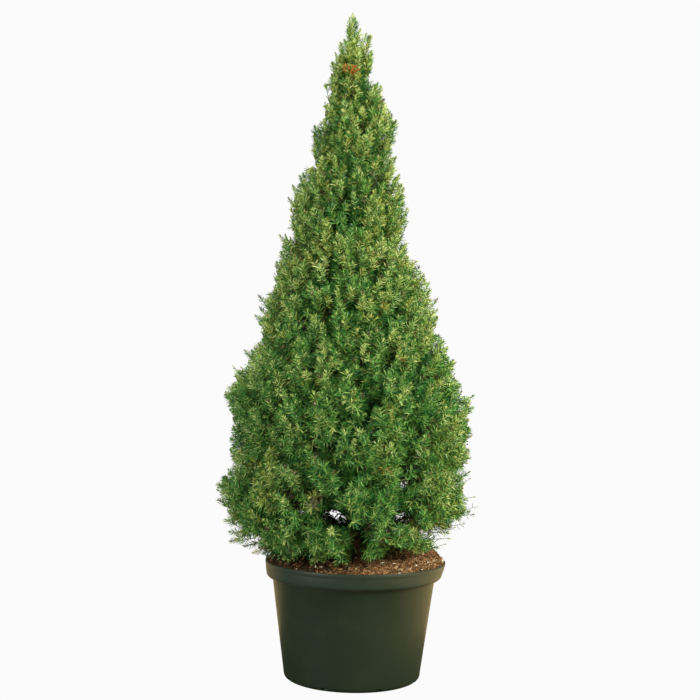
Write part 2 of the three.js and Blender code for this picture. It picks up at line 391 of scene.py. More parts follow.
def triangle_object(name, points, triangles, materials, slots=None, smooth=False):
    mesh = bpy.data.meshes.new(name)
    count = len(triangles)
    mesh.vertices.add(len(points))
    mesh.vertices.foreach_set("co", np.ascontiguousarray(points, np.float32).ravel())
    mesh.loops.add(3 * count)
    mesh.loops.foreach_set("vertex_index", np.ascontiguousarray(triangles, np.int32).ravel())
    mesh.polygons.add(count)
    mesh.polygons.foreach_set("loop_start", np.arange(0, 3 * count, 3, dtype=np.int32))
    for material in materials:
        mesh.materials.append(material)
    if slots is not None:
        mesh.polygons.foreach_set("material_index", np.ascontiguousarray(slots, np.int32))
    mesh.polygons.foreach_set("use_smooth", np.full(count, smooth))
    mesh.update(calc_edges=True)
    return new_object(name, mesh)


def mesh_points(mesh):
    points = np.zeros(3 * len(mesh.vertices))
    mesh.vertices.foreach_get("co", points)
    return points.reshape(-1, 3)


def finish_piece(piece, replaced=()):
    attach(piece, "root")
    if replaced:
        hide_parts(*replaced)


def unit(vectors):
    lengths = np.linalg.norm(vectors, axis=-1, keepdims=True)
    return vectors / np.maximum(lengths, 1e-9)


def square_to(directions):
    """Two unit vectors square to each direction and to each other."""
    helper = np.where(np.abs(directions[..., 2:3]) < 0.9, UP, np.array([1.0, 0.0, 0.0]))
    first = unit(np.cross(directions, helper))
    return first, np.cross(directions, first)


def wall_triangles(rings, sides):
    """Triangles between each ring of points and the next."""
    corner = np.arange(sides)
    beside = (corner + 1) % sides
    low = np.arange(rings - 1)[:, None] * sides
    high = low + sides
    quads = np.stack([low + corner, low + beside, high + beside, high + corner], -1)
    quads = quads.reshape(-1, 4)
    return np.concatenate([quads[:, [0, 1, 2]], quads[:, [0, 2, 3]]])


def closed_wall(rings, ends):
    """A wall through rings of points, and a fan to a point at each end: points, triangles."""
    count, sides, _ = rings.shape
    total = count * sides
    last = total - sides
    corner = np.arange(sides)
    beside = (corner + 1) % sides
    first_fan = np.stack([np.full(sides, total), beside, corner], -1)
    last_fan = np.stack([np.full(sides, total + 1), last + corner, last + beside], -1)
    triangles = np.concatenate([wall_triangles(count, sides), first_fan, last_fan])
    return np.concatenate([rings.reshape(-1, 3), ends]), triangles


def tube_arrays(paths, radii, sides):
    """Points and triangles of many tubes with the same number of stations."""
    count, stations, _ = paths.shape
    along = unit(np.gradient(paths, axis=1))
    first, second = square_to(along)
    bearings = FULL_TURN * np.arange(sides) / sides
    wide = radii[:, :, None, None]
    rings = (
        paths[:, :, None, :]
        + wide * np.cos(bearings)[None, None, :, None] * first[:, :, None, :]
        + wide * np.sin(bearings)[None, None, :, None] * second[:, :, None, :]
    )
    offsets = (np.arange(count) * stations * sides)[:, None, None]
    triangles = wall_triangles(stations, sides)[None] + offsets
    return rings.reshape(-1, 3), triangles.reshape(-1, 3)


def join_arrays(parts):
    """One points array and one triangles array from several."""
    points = []
    triangles = []
    start = 0
    for some_points, some_triangles in parts:
        points.append(some_points)
        triangles.append(some_triangles + start)
        start += len(some_points)
    return np.concatenate(points), np.concatenate(triangles)


def bent_paths(starts, middles, ends, stations):
    """Curves that leave `starts`, head for `middles` and arrive at `ends`."""
    t = np.linspace(0, 1, stations)[None, :, None]
    first = starts[:, None, :] * (1 - t) ** 2
    second = middles[:, None, :] * 2 * t * (1 - t)
    return first + second + ends[:, None, :] * t**2


# ---- Pot ----

POT_SEGMENTS = 160
SMOOTH_UP_TO = math.radians(38)
RIM_BEAD = 0.0062  # height of the rolled bead at the rim
RIM_BEAD_PROUD = 0.0005
COLLAR_GROOVE = 0.0001
COLLAR_SHIFT = 0.0026  # the soft collar is pushed a little to the right


def shift_collar(points):
    """Moves what stands above the pot's shoulder to the right, most at the rim."""
    share = (points[..., 2] - POT_TOP + COLLAR_HEIGHT + 0.004) / COLLAR_HEIGHT
    points[..., 0] += COLLAR_SHIFT * np.clip(share, 0, 1)
    return points


def arc(radius, height, size, start, end, steps):
    """Points of a round corner in the pot's section, angles in degrees from +R towards +Z."""
    angles = np.radians(np.linspace(start, end, steps))
    return [(radius + size * math.cos(a), height + size * math.sin(a)) for a in angles]


def pot_section():
    """The pot's section from the middle of its underside round to the middle of its floor."""
    rim, top = POT_RIM, POT_TOP
    wall = 0.0026
    shoulder = COLLAR_FOOT
    collar_foot = rim - 0.004
    body = 0.1258  # radius under the shoulder
    base = 0.1055  # radius over the lower corner
    foot = 0.098  # radius of the flat underside
    corner = 0.0075
    height = shoulder - corner
    section = [(0.0, 0.0), (0.5 * foot, 0.0), (foot, 0.0)]
    section += arc(base - corner, corner, corner, -84, -8, 8)
    section += [(base + (body - base) * t, corner + height * t) for t in (0.02, 0.3, 0.6)]
    section += [(body - 0.0003, shoulder - 0.0020)]
    section += arc(body + 0.0016, shoulder - 0.0014, 0.0016, 180, 96, 5)
    section += arc(collar_foot - 0.0058, shoulder + 0.0062, 0.0062, -80, -6, 8)
    bead_foot = top - RIM_BEAD
    grown = rim - RIM_BEAD_PROUD
    section += [(grown - 0.0005, bead_foot - 0.0025)]
    section += [(grown - 0.0005 - COLLAR_GROOVE, bead_foot - 0.0006)]
    section += [(grown, bead_foot + 0.0006), (rim - 0.0002, bead_foot + 0.0016)]
    section += arc(rim - 0.0014, top - 0.0014, 0.0014, 0, 90, 6)
    section += arc(rim - wall - 0.0002, top - 0.0010, 0.0010, 90, 178, 4)
    section += [(rim - wall - 0.0018, shoulder + 0.006), (body - wall, shoulder - 0.002)]
    section += [(base - wall, 0.009), (foot, 0.004), (0.0, 0.004)]
    return section


def lathe(name, section, segments):
    """A closed body turned about Z, its section starting and ending on the axis."""
    body = bmesh.new()
    bearings = [FULL_TURN * i / segments for i in range(segments)]
    rings = []
    for radius, height in section:
        ring = [(radius * math.cos(a), radius * math.sin(a), height) for a in bearings]
        if radius == 0.0:
            ring = [(0, 0, height)]
        rings.append([body.verts.new(place) for place in ring])
    for lower, upper in zip(rings, rings[1:]):
        for i in range(segments):
            j = (i + 1) % segments
            if len(lower) == 1:
                body.faces.new((lower[0], upper[j], upper[i]))
            elif len(upper) == 1:
                body.faces.new((lower[i], lower[j], upper[0]))
            else:
                body.faces.new((lower[i], lower[j], upper[j], upper[i]))
    bmesh.ops.recalc_face_normals(body, faces=body.faces)
    mesh = bpy.data.meshes.new(name)
    body.to_mesh(mesh)
    body.free()
    return new_object(name, mesh)


DRAINAGE_NOTCHES = 8
NOTCH_SIZE = (0.012, 0.009, 0.012)  # through the wall, along it and up
NOTCH_RADIUS = 0.1065


def cut_notches(pot):
    """Drainage notches through the lower corner of the pot."""
    cutter_body = bmesh.new()
    for i in range(DRAINAGE_NOTCHES):
        bearing = FULL_TURN * (i + 0.5) / DRAINAGE_NOTCHES
        turn = Matrix.Rotation(bearing, 4, "Z") @ Matrix.Translation((NOTCH_RADIUS, 0, 0))
        size = Matrix.Diagonal((*NOTCH_SIZE, 1))
        bmesh.ops.create_cube(cutter_body, size=1, matrix=turn @ size)
    mesh = bpy.data.meshes.new("notch_cutter")
    cutter_body.to_mesh(mesh)
    cutter_body.free()
    cutter = new_object("notch_cutter", mesh)
    cut = pot.modifiers.new("notches", "BOOLEAN")
    cut.operation = "DIFFERENCE"
    cut.object = cutter
    bpy.context.view_layer.objects.active = pot
    bpy.ops.object.modifier_apply(modifier="notches")
    bpy.data.objects.remove(cutter)


def make_pot():
    pot = lathe("pot_moulded", pot_section(), POT_SEGMENTS)
    cut_notches(pot)
    pot.data.vertices.foreach_set("co", shift_collar(mesh_points(pot.data)).ravel())
    pot.data.polygons.foreach_set("use_smooth", np.full(len(pot.data.polygons), True))
    bpy.context.view_layer.objects.active = pot
    pot.select_set(True)
    bpy.ops.object.shade_smooth_by_angle(angle=SMOOTH_UP_TO)
    pot.select_set(False)
    pot.data.materials.append(pot_plastic())
    finish_piece(pot, ["pot"])


make_pot()


# ---- Potting mix ----

SOIL_RINGS = 90
SOIL_SPOKES = 220
CRUMBS = 9000
SLIVERS = 3600
WHITE_BITS = 28
WHITE_INNER = 0.07  # radius inside which none lie
WHITE_SIZES = (0.0012, 0.0029)
CRUMB_SIZES = (0.0006, 0.0032)
SLIVER_LENGTHS = (0.0024, 0.0070)
SLIVER_THICKNESS = 0.0004
SLIVER_LIFT = 0.0009
# Finishes of crumbs and slivers: name, colour, roughness, specular level.
CRUMB_COLORS = [
    ("dark", (90, 64, 38), 0.95, 0.15),
    ("brown", (118, 88, 54), 0.95, 0.15),
    ("red", (146, 100, 64), 0.9, 0.2),
    ("rust", (152, 114, 76), 0.9, 0.2),
    ("tan", (170, 144, 106), 0.85, 0.25),
    ("pale", (226, 210, 182), 0.8, 0.3),
    # painted shade: the dark finish of crumbs in the crown's shade
    ("painted_shade", (52, 38, 24), 0.9, 0.2),
]
CRUMB_PAINTED_SHADE = 6  # place of the painted-shade finish in that table
CRUMB_MIX = [0, 1, 2, 3, 4], [0.24, 0.28, 0.24, 0.17, 0.07]  # finishes and their shares
SLIVER_MIX = [1, 2, 3, 4, 5], [0.2, 0.3, 0.3, 0.17, 0.03]
MIX_TOP = POT_TOP - 0.0022  # at its edge
MIX_FLOOR = 0.006
MOUND = 0.0075  # the middle of the mix above its edge
HEAP = (0.0125, 0.105, 0.050, 0.048)  # height, place across and back, reach
LUMPS = [(0.0022, 38, 3.0), (0.0012, 110, 7.0)]  # height, lumps in a metre, level of the noise


def soil_height(x, y):
    """Height of the mix's surface: a low mound, heaped a little at the back right."""
    edge = POT_RIM - 0.0035
    radius = np.hypot(x, y)
    mound = MOUND * np.sqrt(np.clip(1 - (radius / edge) ** 4, 0, 1))
    height, across, back, reach = HEAP
    heap = height * np.exp(-((x - across) ** 2 + (y - back) ** 2) / reach**2)
    lumps = [
        sum(size * noise.noise((a * scale, b * scale, level)) for size, scale, level in LUMPS)
        for a, b in zip(np.ravel(x), np.ravel(y))
    ]
    lumps = np.array(lumps).reshape(np.shape(x)) * np.clip((edge - radius) / 0.01, 0, 1)
    heap = heap * np.clip((edge + 0.002 - radius) / 0.009, 0, 1)
    return MIX_TOP + mound + heap + lumps


def soil_bed():
    """The mix itself: an uneven top on a plug that fills the pot."""
    edge = POT_RIM - 0.0033
    radii = edge * np.sqrt(np.linspace(0.0002, 1, SOIL_RINGS))
    bearings = FULL_TURN * np.arange(SOIL_SPOKES) / SOIL_SPOKES
    x = radii[:, None] * np.cos(bearings)
    y = radii[:, None] * np.sin(bearings)
    rings = [np.stack([x, y, soil_height(x, y)], -1)]
    plug = [(edge, POT_TOP - 0.012), (0.1222, POT_TOP - 0.030), (0.1015, MIX_FLOOR)]
    for radius, height in plug:
        x, y = radius * np.cos(bearings), radius * np.sin(bearings)
        rings.append(np.stack([x, y, np.full(SOIL_SPOKES, height)], -1)[None])
    ends = [[0, 0, rings[0][0, :, 2].mean()], [0, 0, MIX_FLOOR]]
    points, triangles = closed_wall(np.concatenate(rings), ends)
    return points, triangles[:, [0, 2, 1]]


CRUMB_CORNERS = np.array(
    [[1, 0, 0], [-1, 0, 0], [0, 1, 0], [0, -1, 0], [0, 0, 1], [0, 0, -1]], float
)
CRUMB_FACES = np.array(
    [[0, 2, 4], [2, 1, 4], [1, 3, 4], [3, 0, 4], [2, 0, 5], [1, 2, 5], [3, 1, 5], [0, 3, 5]]
)


def octahedra(places, sizes, turns):
    """Jittered eight-sided crumbs. sizes is (n, 3); turns is (n, 3, 3)."""
    count = len(places)
    shaped = CRUMB_CORNERS[None] * sizes[:, None, :] * random.uniform(0.65, 1.25, (count, 6, 1))
    points = np.einsum("nij,nkj->nki", turns, shaped) + places[:, None, :]
    triangles = CRUMB_FACES[None] + 6 * np.arange(count)[:, None, None]
    return points.reshape(-1, 3), triangles.reshape(-1, 3)


def random_turns(count, tilt):
    """Rotation matrices: any bearing about Z, then a tilt of up to `tilt` radians."""
    spin = random.uniform(0, FULL_TURN, count)
    lean = random.uniform(-tilt, tilt, count)
    cos_s, sin_s, cos_l, sin_l = np.cos(spin), np.sin(spin), np.cos(lean), np.sin(lean)
    zero, one = np.zeros(count), np.ones(count)
    turn = np.stack([cos_s, -sin_s, zero, sin_s, cos_s, zero, zero, zero, one], -1)
    tip = np.stack([one, zero, zero, zero, cos_l, -sin_l, zero, sin_l, cos_l], -1)
    return turn.reshape(-1, 3, 3) @ tip.reshape(-1, 3, 3)


def scatter_on_soil(count, inner=0.02):
    edge = POT_RIM - 0.0045
    radius = np.sqrt(random.uniform(inner**2, edge**2, count))
    bearing = random.uniform(0, FULL_TURN, count)
    x, y = radius * np.cos(bearing), radius * np.sin(bearing)
    return shift_collar(np.stack([x, y, soil_height(x, y)], -1))


def painted_shade_ones(places):
    """Painted shade: crumbs picked to take the dark shaded finish, more of them towards the left,
    where the crown's fuller side shades the mix.
    """
    share = 0.8 * np.clip((0.03 - places[:, 0]) / 0.10, 0, 1)
    return random.uniform(size=len(places)) < share


def lay_crumbs(name, places, sizes, tilt, finishes, kinds, shares):
    """A layer of crumbs of one shape; those picked for painted shade take the dark shaded finish.
    """
    count = len(places)
    points, triangles = octahedra(places, sizes, random_turns(count, tilt))
    slots = random.choice(kinds, count, p=shares)
    # painted shade: crumbs to the left take the dark shaded finish
    slots[painted_shade_ones(places)] = CRUMB_PAINTED_SHADE
    slots = np.repeat(slots, len(CRUMB_FACES))
    finish_piece(triangle_object(name, points, triangles, finishes, slots))


def make_soil():
    points, triangles = soil_bed()
    bed = triangle_object("mix_bed", shift_collar(points), triangles, [soil_finish()], smooth=True)
    finish_piece(bed, ["potting_mix"])

    crumb_colors = [
        plain("crumb_" + name, linear(*color), roughness, specular)
        for name, color, roughness, specular in CRUMB_COLORS
    ]
    places = scatter_on_soil(CRUMBS)
    size = random.gamma(4.0, 0.00033, CRUMBS)[:, None].clip(*CRUMB_SIZES)
    sizes = size * random.uniform(0.6, 1.4, (CRUMBS, 3))
    places[:, 2] += 0.35 * size[:, 0]
    lay_crumbs("mix_crumbs", places, sizes, 1.2, crumb_colors, *CRUMB_MIX)

    places = scatter_on_soil(SLIVERS)
    length = random.uniform(*SLIVER_LENGTHS, SLIVERS)
    width = length * random.uniform(0.14, 0.30, SLIVERS)
    sizes = np.stack([length, width, np.full(SLIVERS, SLIVER_THICKNESS)], -1)
    places[:, 2] += SLIVER_LIFT
    lay_crumbs("mix_slivers", places, sizes, 0.7, crumb_colors, *SLIVER_MIX)

    places = scatter_on_soil(WHITE_BITS, WHITE_INNER)
    size = random.uniform(*WHITE_SIZES, (WHITE_BITS, 1))
    sizes = size * random.uniform(0.7, 1.3, (WHITE_BITS, 3))
    places[:, 2] += 0.5 * size[:, 0]
    points, triangles = octahedra(places, sizes, random_turns(WHITE_BITS, 1.5))
    white = plain("white_grit", linear(232, 226, 212), 0.8, 0.3)
    finish_piece(triangle_object("mix_white_grit", points, triangles, [white]))


make_soil()


# ---- The frame as the growth rule sees it ----


def node_arrays(node):
    """Points and triangles of a solid of the frame."""
    mesh = nodes[node].data
    mesh.calc_loop_triangles()
    corners = np.zeros(3 * len(mesh.loop_triangles), np.int32)
    mesh.loop_triangles.foreach_get("vertices", corners)
    return mesh_points(mesh), corners.reshape(-1, 3)


mass_names = sorted(name for name in nodes if "_mass_" in name)
mass_meshes = {name: node_arrays(name) for name in mass_names}
all_points, all_triangles = join_arrays(list(mass_meshes.values()))
crown_tree = BVHTree.FromPolygons(all_points.tolist(), all_triangles.tolist())
CROWN_FOOT = all_points[:, 2].min()
CROWN_TOP = all_points[:, 2].max()


def trunk_stations(count):
    """Centres and radii of the trunk at even heights, read from its solid."""
    points, _ = node_arrays("trunk")
    levels = np.unique(np.round(points[:, 2], 4))
    centres = []
    radii = []
    for level in levels:
        ring = points[np.abs(points[:, 2] - level) < 2e-4]
        centre = (ring.max(0) + ring.min(0)) / 2
        centres.append(centre)
        radii.append(np.linalg.norm((ring - centre)[:, :2], axis=1).mean())
    centres = np.array(centres)
    heights = np.linspace(centres[0, 2], centres[-1, 2], count)
    x = np.interp(heights, centres[:, 2], centres[:, 0])
    y = np.interp(heights, centres[:, 2], centres[:, 1])
    return np.stack([x, y, heights], -1), np.interp(heights, centres[:, 2], radii)


TRUNK_STATIONS = 400
trunk_line, trunk_radii = trunk_stations(TRUNK_STATIONS)


def trunk_at(heights):
    """The trunk's centre at each height; above its tip the line carries straight on."""
    heights = np.asarray(heights, float)
    last = trunk_line[-1] - trunk_line[-60]
    beyond = np.maximum(heights - trunk_line[-1, 2], 0) / last[2]
    x = np.interp(heights, trunk_line[:, 2], trunk_line[:, 0]) + beyond * last[0]
    y = np.interp(heights, trunk_line[:, 2], trunk_line[:, 1]) + beyond * last[1]
    return np.stack([x, y, heights], -1)


def up_the_crown(heights):
    """0 at the crown's foot and 1 at its top."""
    return np.clip((np.asarray(heights) - CROWN_FOOT) / (CROWN_TOP - CROWN_FOOT), 0, 1)


def outwards_at(points):
    flat = points - trunk_at(points[:, 2])
    flat[:, 2] = 0
    return unit(flat)


# ---- Trunk and limbs ----

TRUNK_SIDES = 56
TRUNK_PLATES = 190.0  # in a metre
TRUNK_RELIEF = 0.0007
FLARE_HEIGHT = 0.014
FLARE_LOBES = 5


def ridged(points, scale):
    """Relief of plated bark at each point, from -1 to 1, longer up than across."""
    scales = (scale, scale, 0.4 * scale)
    values = [noise.noise([a * b for a, b in zip(point, scales)]) for point in points]
    return 1 - 2 * np.abs(values)


def make_trunk():
    """A tube along the trunk's line, with a lobed flare and plated bark."""
    bearings = FULL_TURN * np.arange(TRUNK_SIDES) / TRUNK_SIDES
    flare = np.exp(-(trunk_line[:, 2] - trunk_line[0, 2]) / FLARE_HEIGHT)
    lobes = 1 + 0.2 * flare[:, None] * np.cos(FLARE_LOBES * bearings + 0.6)
    radius = trunk_radii[:, None] * lobes

    def rings():
        x = trunk_line[:, 0, None] + radius * np.cos(bearings)
        y = trunk_line[:, 1, None] + radius * np.sin(bearings)
        return np.stack([x, y, np.repeat(trunk_line[:, 2, None], TRUNK_SIDES, 1)], -1)

    relief = ridged(rings().reshape(-1, 3), TRUNK_PLATES).reshape(radius.shape)
    thick = np.clip(trunk_radii / trunk_radii[20], 0.25, 1)[:, None]
    radius = radius + TRUNK_RELIEF * thick * (relief - 0.6)
    points, triangles = closed_wall(rings(), trunk_line[[0, -1]])
    trunk = triangle_object("trunk_bark", points, triangles, [bark], smooth=True)
    finish_piece(trunk, ["trunk"])


bark = bark_finish()
make_trunk()


# ---- Where shoots stand ----

def in_metres(rows):
    """A table whose rows start with four lengths in tenths of a millimetre."""
    return [(*(length / 10000 for length in row[:4]), *row[4:]) for row in rows]


# Places on the crown facing the viewer, each measured on the upright plane through the trunk's
# foot. What lies there is followed through the crown along the line of sight.
# Openings: across, up, half width, half height.
OPENINGS = in_metres([
    (-370, 2490, 200, 70), (-210, 2400, 100, 80), (-840, 2560, 80, 60), (755, 2990, 55, 70),
    (785, 2480, 150, 110), (530, 2260, 70, 50), (1270, 2280, 80, 60), (1080, 2230, 80, 50),
    (-1840, 2260, 90, 40), (-1580, 2120, 100, 40), (900, 1740, 600, 180), (680, 1920, 160, 100),
])
# Notches in the outline, open all the way through.
NOTCHES = in_metres([
    (-640, 9000, 105, 140), (-877, 8002, 140, 124), (-1201, 7064, 124, 140),
    (-1490, 6080, 171, 155), (-1664, 5300, 171, 170), (-1842, 4862, 124, 124),
    (-2038, 4577, 140, 78), (-2062, 3940, 130, 200), (-2080, 3450, 110, 130),
    (-2090, 2495, 109, 109), (148, 9328, 85, 60), (791, 6884, 100, 124), (875, 6575, 124, 93),
    (1317, 5419, 140, 100), (1627, 4695, 109, 62), (1724, 4464, 124, 62), (1873, 4000, 124, 140),
    (1817, 3657, 109, 109), (1790, 3310, 93, 80), (1799, 2958, 109, 124), (1381, 2096, 124, 78),
    (1600, 2370, 80, 60), (-1370, 6250, 80, 90), (-660, 8740, 70, 110), (-510, 9640, 75, 80),
    (-550, 9080, 50, 80), (-2175, 2790, 60, 80), (-1110, 6840, 45, 90),
])
# Dark hollows on the near side only, all the way in: before the trunk's foot, and between clumps.
HOLLOWS = in_metres([
    (60, 2070, 170, 300), (80, 1800, 120, 140), (-790, 1870, 100, 120), (-200, 9400, 100, 90),
])
# Thin places among the outer shoots of the near side: the last number is the share kept.
THIN_PLACES = in_metres([
    (-570, 2680, 300, 140, 0.45), (940, 3000, 220, 400, 0.4), (1460, 2320, 340, 220, 0.5),
    (-1480, 1930, 200, 130, 0.5), (-330, 3360, 120, 340, 0.35), (190, 4240, 120, 220, 0.3),
    (920, 3300, 200, 180, 0.3), (320, 6320, 140, 220, 0.3), (-570, 5830, 120, 220, 0.3),
    (-260, 7410, 100, 160, 0.2), (-100, 7020, 100, 180, 0.2), (-180, 8990, 80, 100, 0.3),
    (180, 3830, 100, 200, 0.2), (350, 4620, 100, 180, 0.25), (1150, 5020, 100, 150, 0.25),
    (1320, 4300, 100, 180, 0.3), (240, 2700, 120, 140, 0.3), (720, 5920, 100, 140, 0.2),
    (320, 7780, 80, 120, 0.3), (-40, 5730, 90, 140, 0.3), (-330, 7190, 80, 120, 0.3),
    (1000, 2810, 140, 120, 0.35), (-1150, 4630, 90, 120, 0.4), (-700, 4520, 100, 140, 0.3),
    (920, 3250, 120, 120, 0.0), (-710, 5610, 90, 140, 0.35), (-40, 9030, 80, 100, 0.3),
    (30, 8530, 80, 120, 0.35), (-380, 3360, 80, 120, 0.35), (240, 2300, 120, 160, 0.35),
    (300, 2060, 160, 200, 0.35), (730, 2810, 100, 120, 0.35), (160, 4510, 90, 120, 0.35),
    (1260, 4530, 90, 120, 0.35), (1430, 4270, 80, 100, 0.4), (-450, 6110, 80, 120, 0.35),
    (630, 5550, 80, 160, 0.35), (990, 4700, 80, 120, 0.35), (-90, 2520, 100, 120, 0.35),
    (-830, 2180, 100, 100, 0.4), (-600, 5190, 100, 120, 0.3), (-355, 3360, 80, 240, 0.0),
    (170, 4160, 80, 140, 0.0), (760, 3620, 70, 100, 0.0), (100, 4480, 100, 80, 0.0),
    (1380, 4260, 60, 140, 0.1), (10, 8410, 60, 100, 0.0), (260, 7690, 80, 100, 0.0),
    (-20, 7390, 60, 120, 0.0), (-340, 6930, 70, 110, 0.0), (270, 5080, 70, 110, 0.2),
    (-530, 5490, 70, 100, 0.2), (-970, 2770, 90, 120, 0.4), (-370, 5480, 80, 100, 0.35),
    (1610, 4120, 80, 100, 0.4),
])


def on_viewing_plane(points):
    """Where each point shows on the upright plane through the trunk's foot."""
    share = VIEW_DISTANCE / (points[:, 1] + VIEW_DISTANCE)
    across = EYE[0] + (points[:, 0] - EYE[0]) * share
    up = EYE[2] + (points[:, 2] - EYE[2]) * share
    return across, up


def inside_place(points, place, margin=0.0):
    across, up = on_viewing_plane(points)
    centre_across, centre_up, half_width, half_height = place[:4]
    reach_across = (across - centre_across) / (half_width + margin)
    reach_up = (up - centre_up) / (half_height + margin)
    return reach_across**2 + reach_up**2 < 1


ENVELOPE_STEP = 0.006  # between two levels of the envelope
ENVELOPE_BEARINGS = 90
ENVELOPE_FAR = 0.4  # where its rays start, from the trunk
CLOSED_LEVELS = 5  # clefts between masses up to this many levels deep are closed over
CLOSED_BEARINGS = 5
EVENED_LEVELS = 7  # of the near and far faces, to each side of a level


def spread(values, reach, pick, wrap):
    """The largest or smallest value within `reach` cells along both axes, one of them round."""
    for axis, cells in enumerate(reach):
        mode = "wrap" if axis == wrap else "edge"
        margins = [(cells, cells) if i == axis else (0, 0) for i in range(2)]
        padded = np.pad(values, margins, mode=mode)
        size = values.shape[axis]
        shifted = [np.take(padded, range(k, k + size), axis=axis) for k in range(2 * cells + 1)]
        values = pick(shifted, axis=0)
    return values


def crown_envelope():
    """The crown's reach from the trunk by level and bearing, with the clefts closed over."""
    levels = np.arange(CROWN_FOOT + 0.001, CROWN_TOP - 0.001, ENVELOPE_STEP)
    bearings = FULL_TURN * np.arange(ENVELOPE_BEARINGS) / ENVELOPE_BEARINGS
    reach = np.zeros((len(levels), ENVELOPE_BEARINGS))
    for i, centre in enumerate(trunk_at(levels)):
        for j, bearing in enumerate(bearings):
            outwards = Vector((math.cos(bearing), math.sin(bearing), 0))
            start = Vector(centre) + ENVELOPE_FAR * outwards
            travelled = crown_tree.ray_cast(start, -outwards, ENVELOPE_FAR)[3]
            reach[i, j] = ENVELOPE_FAR - travelled if travelled is not None else 0.0
    window = (CLOSED_LEVELS, CLOSED_BEARINGS)
    beyond = 2 * CLOSED_LEVELS  # empty levels, so that the closing ends where the crown ends
    padded = np.pad(reach, ((beyond, beyond), (0, 0)))
    closed = spread(spread(padded, window, np.max, 1), window, np.min, 1)
    closed = np.maximum(closed[beyond:-beyond], reach)
    smooth = closed.copy()
    for _ in range(2):
        around = np.roll(smooth, 1, 1) + np.roll(smooth, -1, 1) + 2 * smooth
        stacked = np.pad(around / 4, ((1, 1), (0, 0)), mode="edge")
        smooth = (stacked[:-2] + stacked[2:] + 2 * stacked[1:-1]) / 4
    return levels, bearings, evened(smooth, bearings)


def evened(reach, bearings):
    """The reach with the shelves of the near and far faces evened out. The outline to the left
    and right stays as it is, and so does the crown's foot."""
    even = reach
    for _ in range(2):
        stacked = np.pad(even, ((EVENED_LEVELS, EVENED_LEVELS), (0, 0)), mode="edge")
        rows = [stacked[k:k + len(reach)] for k in range(2 * EVENED_LEVELS + 1)]
        even = np.mean(rows, axis=0)
    up = np.linspace(0, 1, len(reach))[:, None]
    share = np.clip((up - 0.15) / 0.2, 0, 1) * np.clip((0.97 - up) / 0.1, 0, 1)
    share = share * np.sin(bearings) ** 2
    return reach * (1 - share) + even * share


levels, bearings, envelope = crown_envelope()


def envelope_place(level, bearing):
    """Points of the envelope at whole and part cells of its table."""
    row = np.clip(level, 0, len(levels) - 1.001)
    i = row.astype(int)
    u = row - i
    column = np.mod(bearing, ENVELOPE_BEARINGS)
    j = column.astype(int) % ENVELOPE_BEARINGS
    v = column - np.floor(column)
    beside = (j + 1) % ENVELOPE_BEARINGS
    low = envelope[i, j] * (1 - v) + envelope[i, beside] * v
    high = envelope[i + 1, j] * (1 - v) + envelope[i + 1, beside] * v
    reach = low * (1 - u) + high * u
    height = levels[0] + row * ENVELOPE_STEP
    angle = FULL_TURN * column / ENVELOPE_BEARINGS
    place = trunk_at(height)
    place[:, 0] += reach * np.cos(angle)
    place[:, 1] += reach * np.sin(angle)
    return place, reach


def kd_tree(places):
    tree = KDTree(len(places))
    for i, place in enumerate(places):
        tree.insert(place, i)
    tree.balance()
    return tree


def thin_out(places, spacings):
    """Keeps a subset in which no two lie closer than their spacing, and returns its indices."""
    tree = kd_tree(places)
    kept = np.zeros(len(places), bool)
    blocked = np.zeros(len(places), bool)
    for i in range(len(places)):
        if blocked[i]:
            continue
        kept[i] = True
        for _, j, _ in tree.find_range(places[i], spacings[i]):
            blocked[j] = True
    return np.flatnonzero(kept)


SHOOT_SPACING = (0.0108, 0.0090)  # at the crown's foot and at its top
SHELL_TOP = 0.965  # above this the spire's own shoots stand
SAMPLES = 80000
UNDERSIDE_SAMPLES = 700  # under each mass of the skirt


def by_height(ends, places):
    """A value between the one at the crown's foot and the one at its top."""
    low, high = ends
    return low + (high - low) * up_the_crown(places[:, 2])


def crown_shell():
    """Even places over the envelope, with normals."""
    level = random.uniform(0, len(levels) - 1.001, SAMPLES)
    bearing = random.uniform(0, ENVELOPE_BEARINGS, SAMPLES)
    places, _ = envelope_place(level, bearing)
    climb = envelope_place(level + 0.7, bearing)[0] - envelope_place(level - 0.7, bearing)[0]
    across = envelope_place(level, bearing + 0.7)[0] - envelope_place(level, bearing - 0.7)[0]
    normals = np.cross(across, climb)
    area = np.linalg.norm(normals, axis=1)
    keep = random.uniform(size=SAMPLES) < area / np.quantile(area, 0.9)
    keep &= places[:, 2] < SHELL_TOP
    places, normals = places[keep], unit(normals)[keep]
    kept = thin_out(places, by_height(SHOOT_SPACING, places))
    return places[kept], normals[kept]


def underside():
    """Places under the lowest masses, sparser than on the sides."""
    places = []
    normals = []
    for name in mass_names:
        if name.startswith("skirt"):
            points, triangles = mass_meshes[name]
            a, b, c = (points[triangles[:, i]] for i in range(3))
            normal = np.cross(b - a, c - a)
            area = np.linalg.norm(normal, axis=1) / 2
            facing = unit(normal)
            area[facing[:, 2] > -0.5] = 0
            chosen = random.choice(len(triangles), UNDERSIDE_SAMPLES, p=area / area.sum())
            u, v = random.uniform(size=(2, UNDERSIDE_SAMPLES, 1))
            fold = (u + v > 1)[:, 0]
            u[fold], v[fold] = 1 - u[fold], 1 - v[fold]
            places.append(a[chosen] + u * (b - a)[chosen] + v * (c - a)[chosen])
            normals.append(facing[chosen])
    places = np.concatenate(places)
    normals = np.concatenate(normals)
    kept = thin_out(places, np.full(len(places), 1.35 * SHOOT_SPACING[0]))
    return places[kept], normals[kept]


side_places, side_normals = crown_shell()
under_places, under_normals = underside()
shell_places = np.concatenate([side_places, under_places])
shell_normals = np.concatenate([side_normals, under_normals])


# ---- Plumes: tufts of shoots on one branch, with dark hollows between them ----

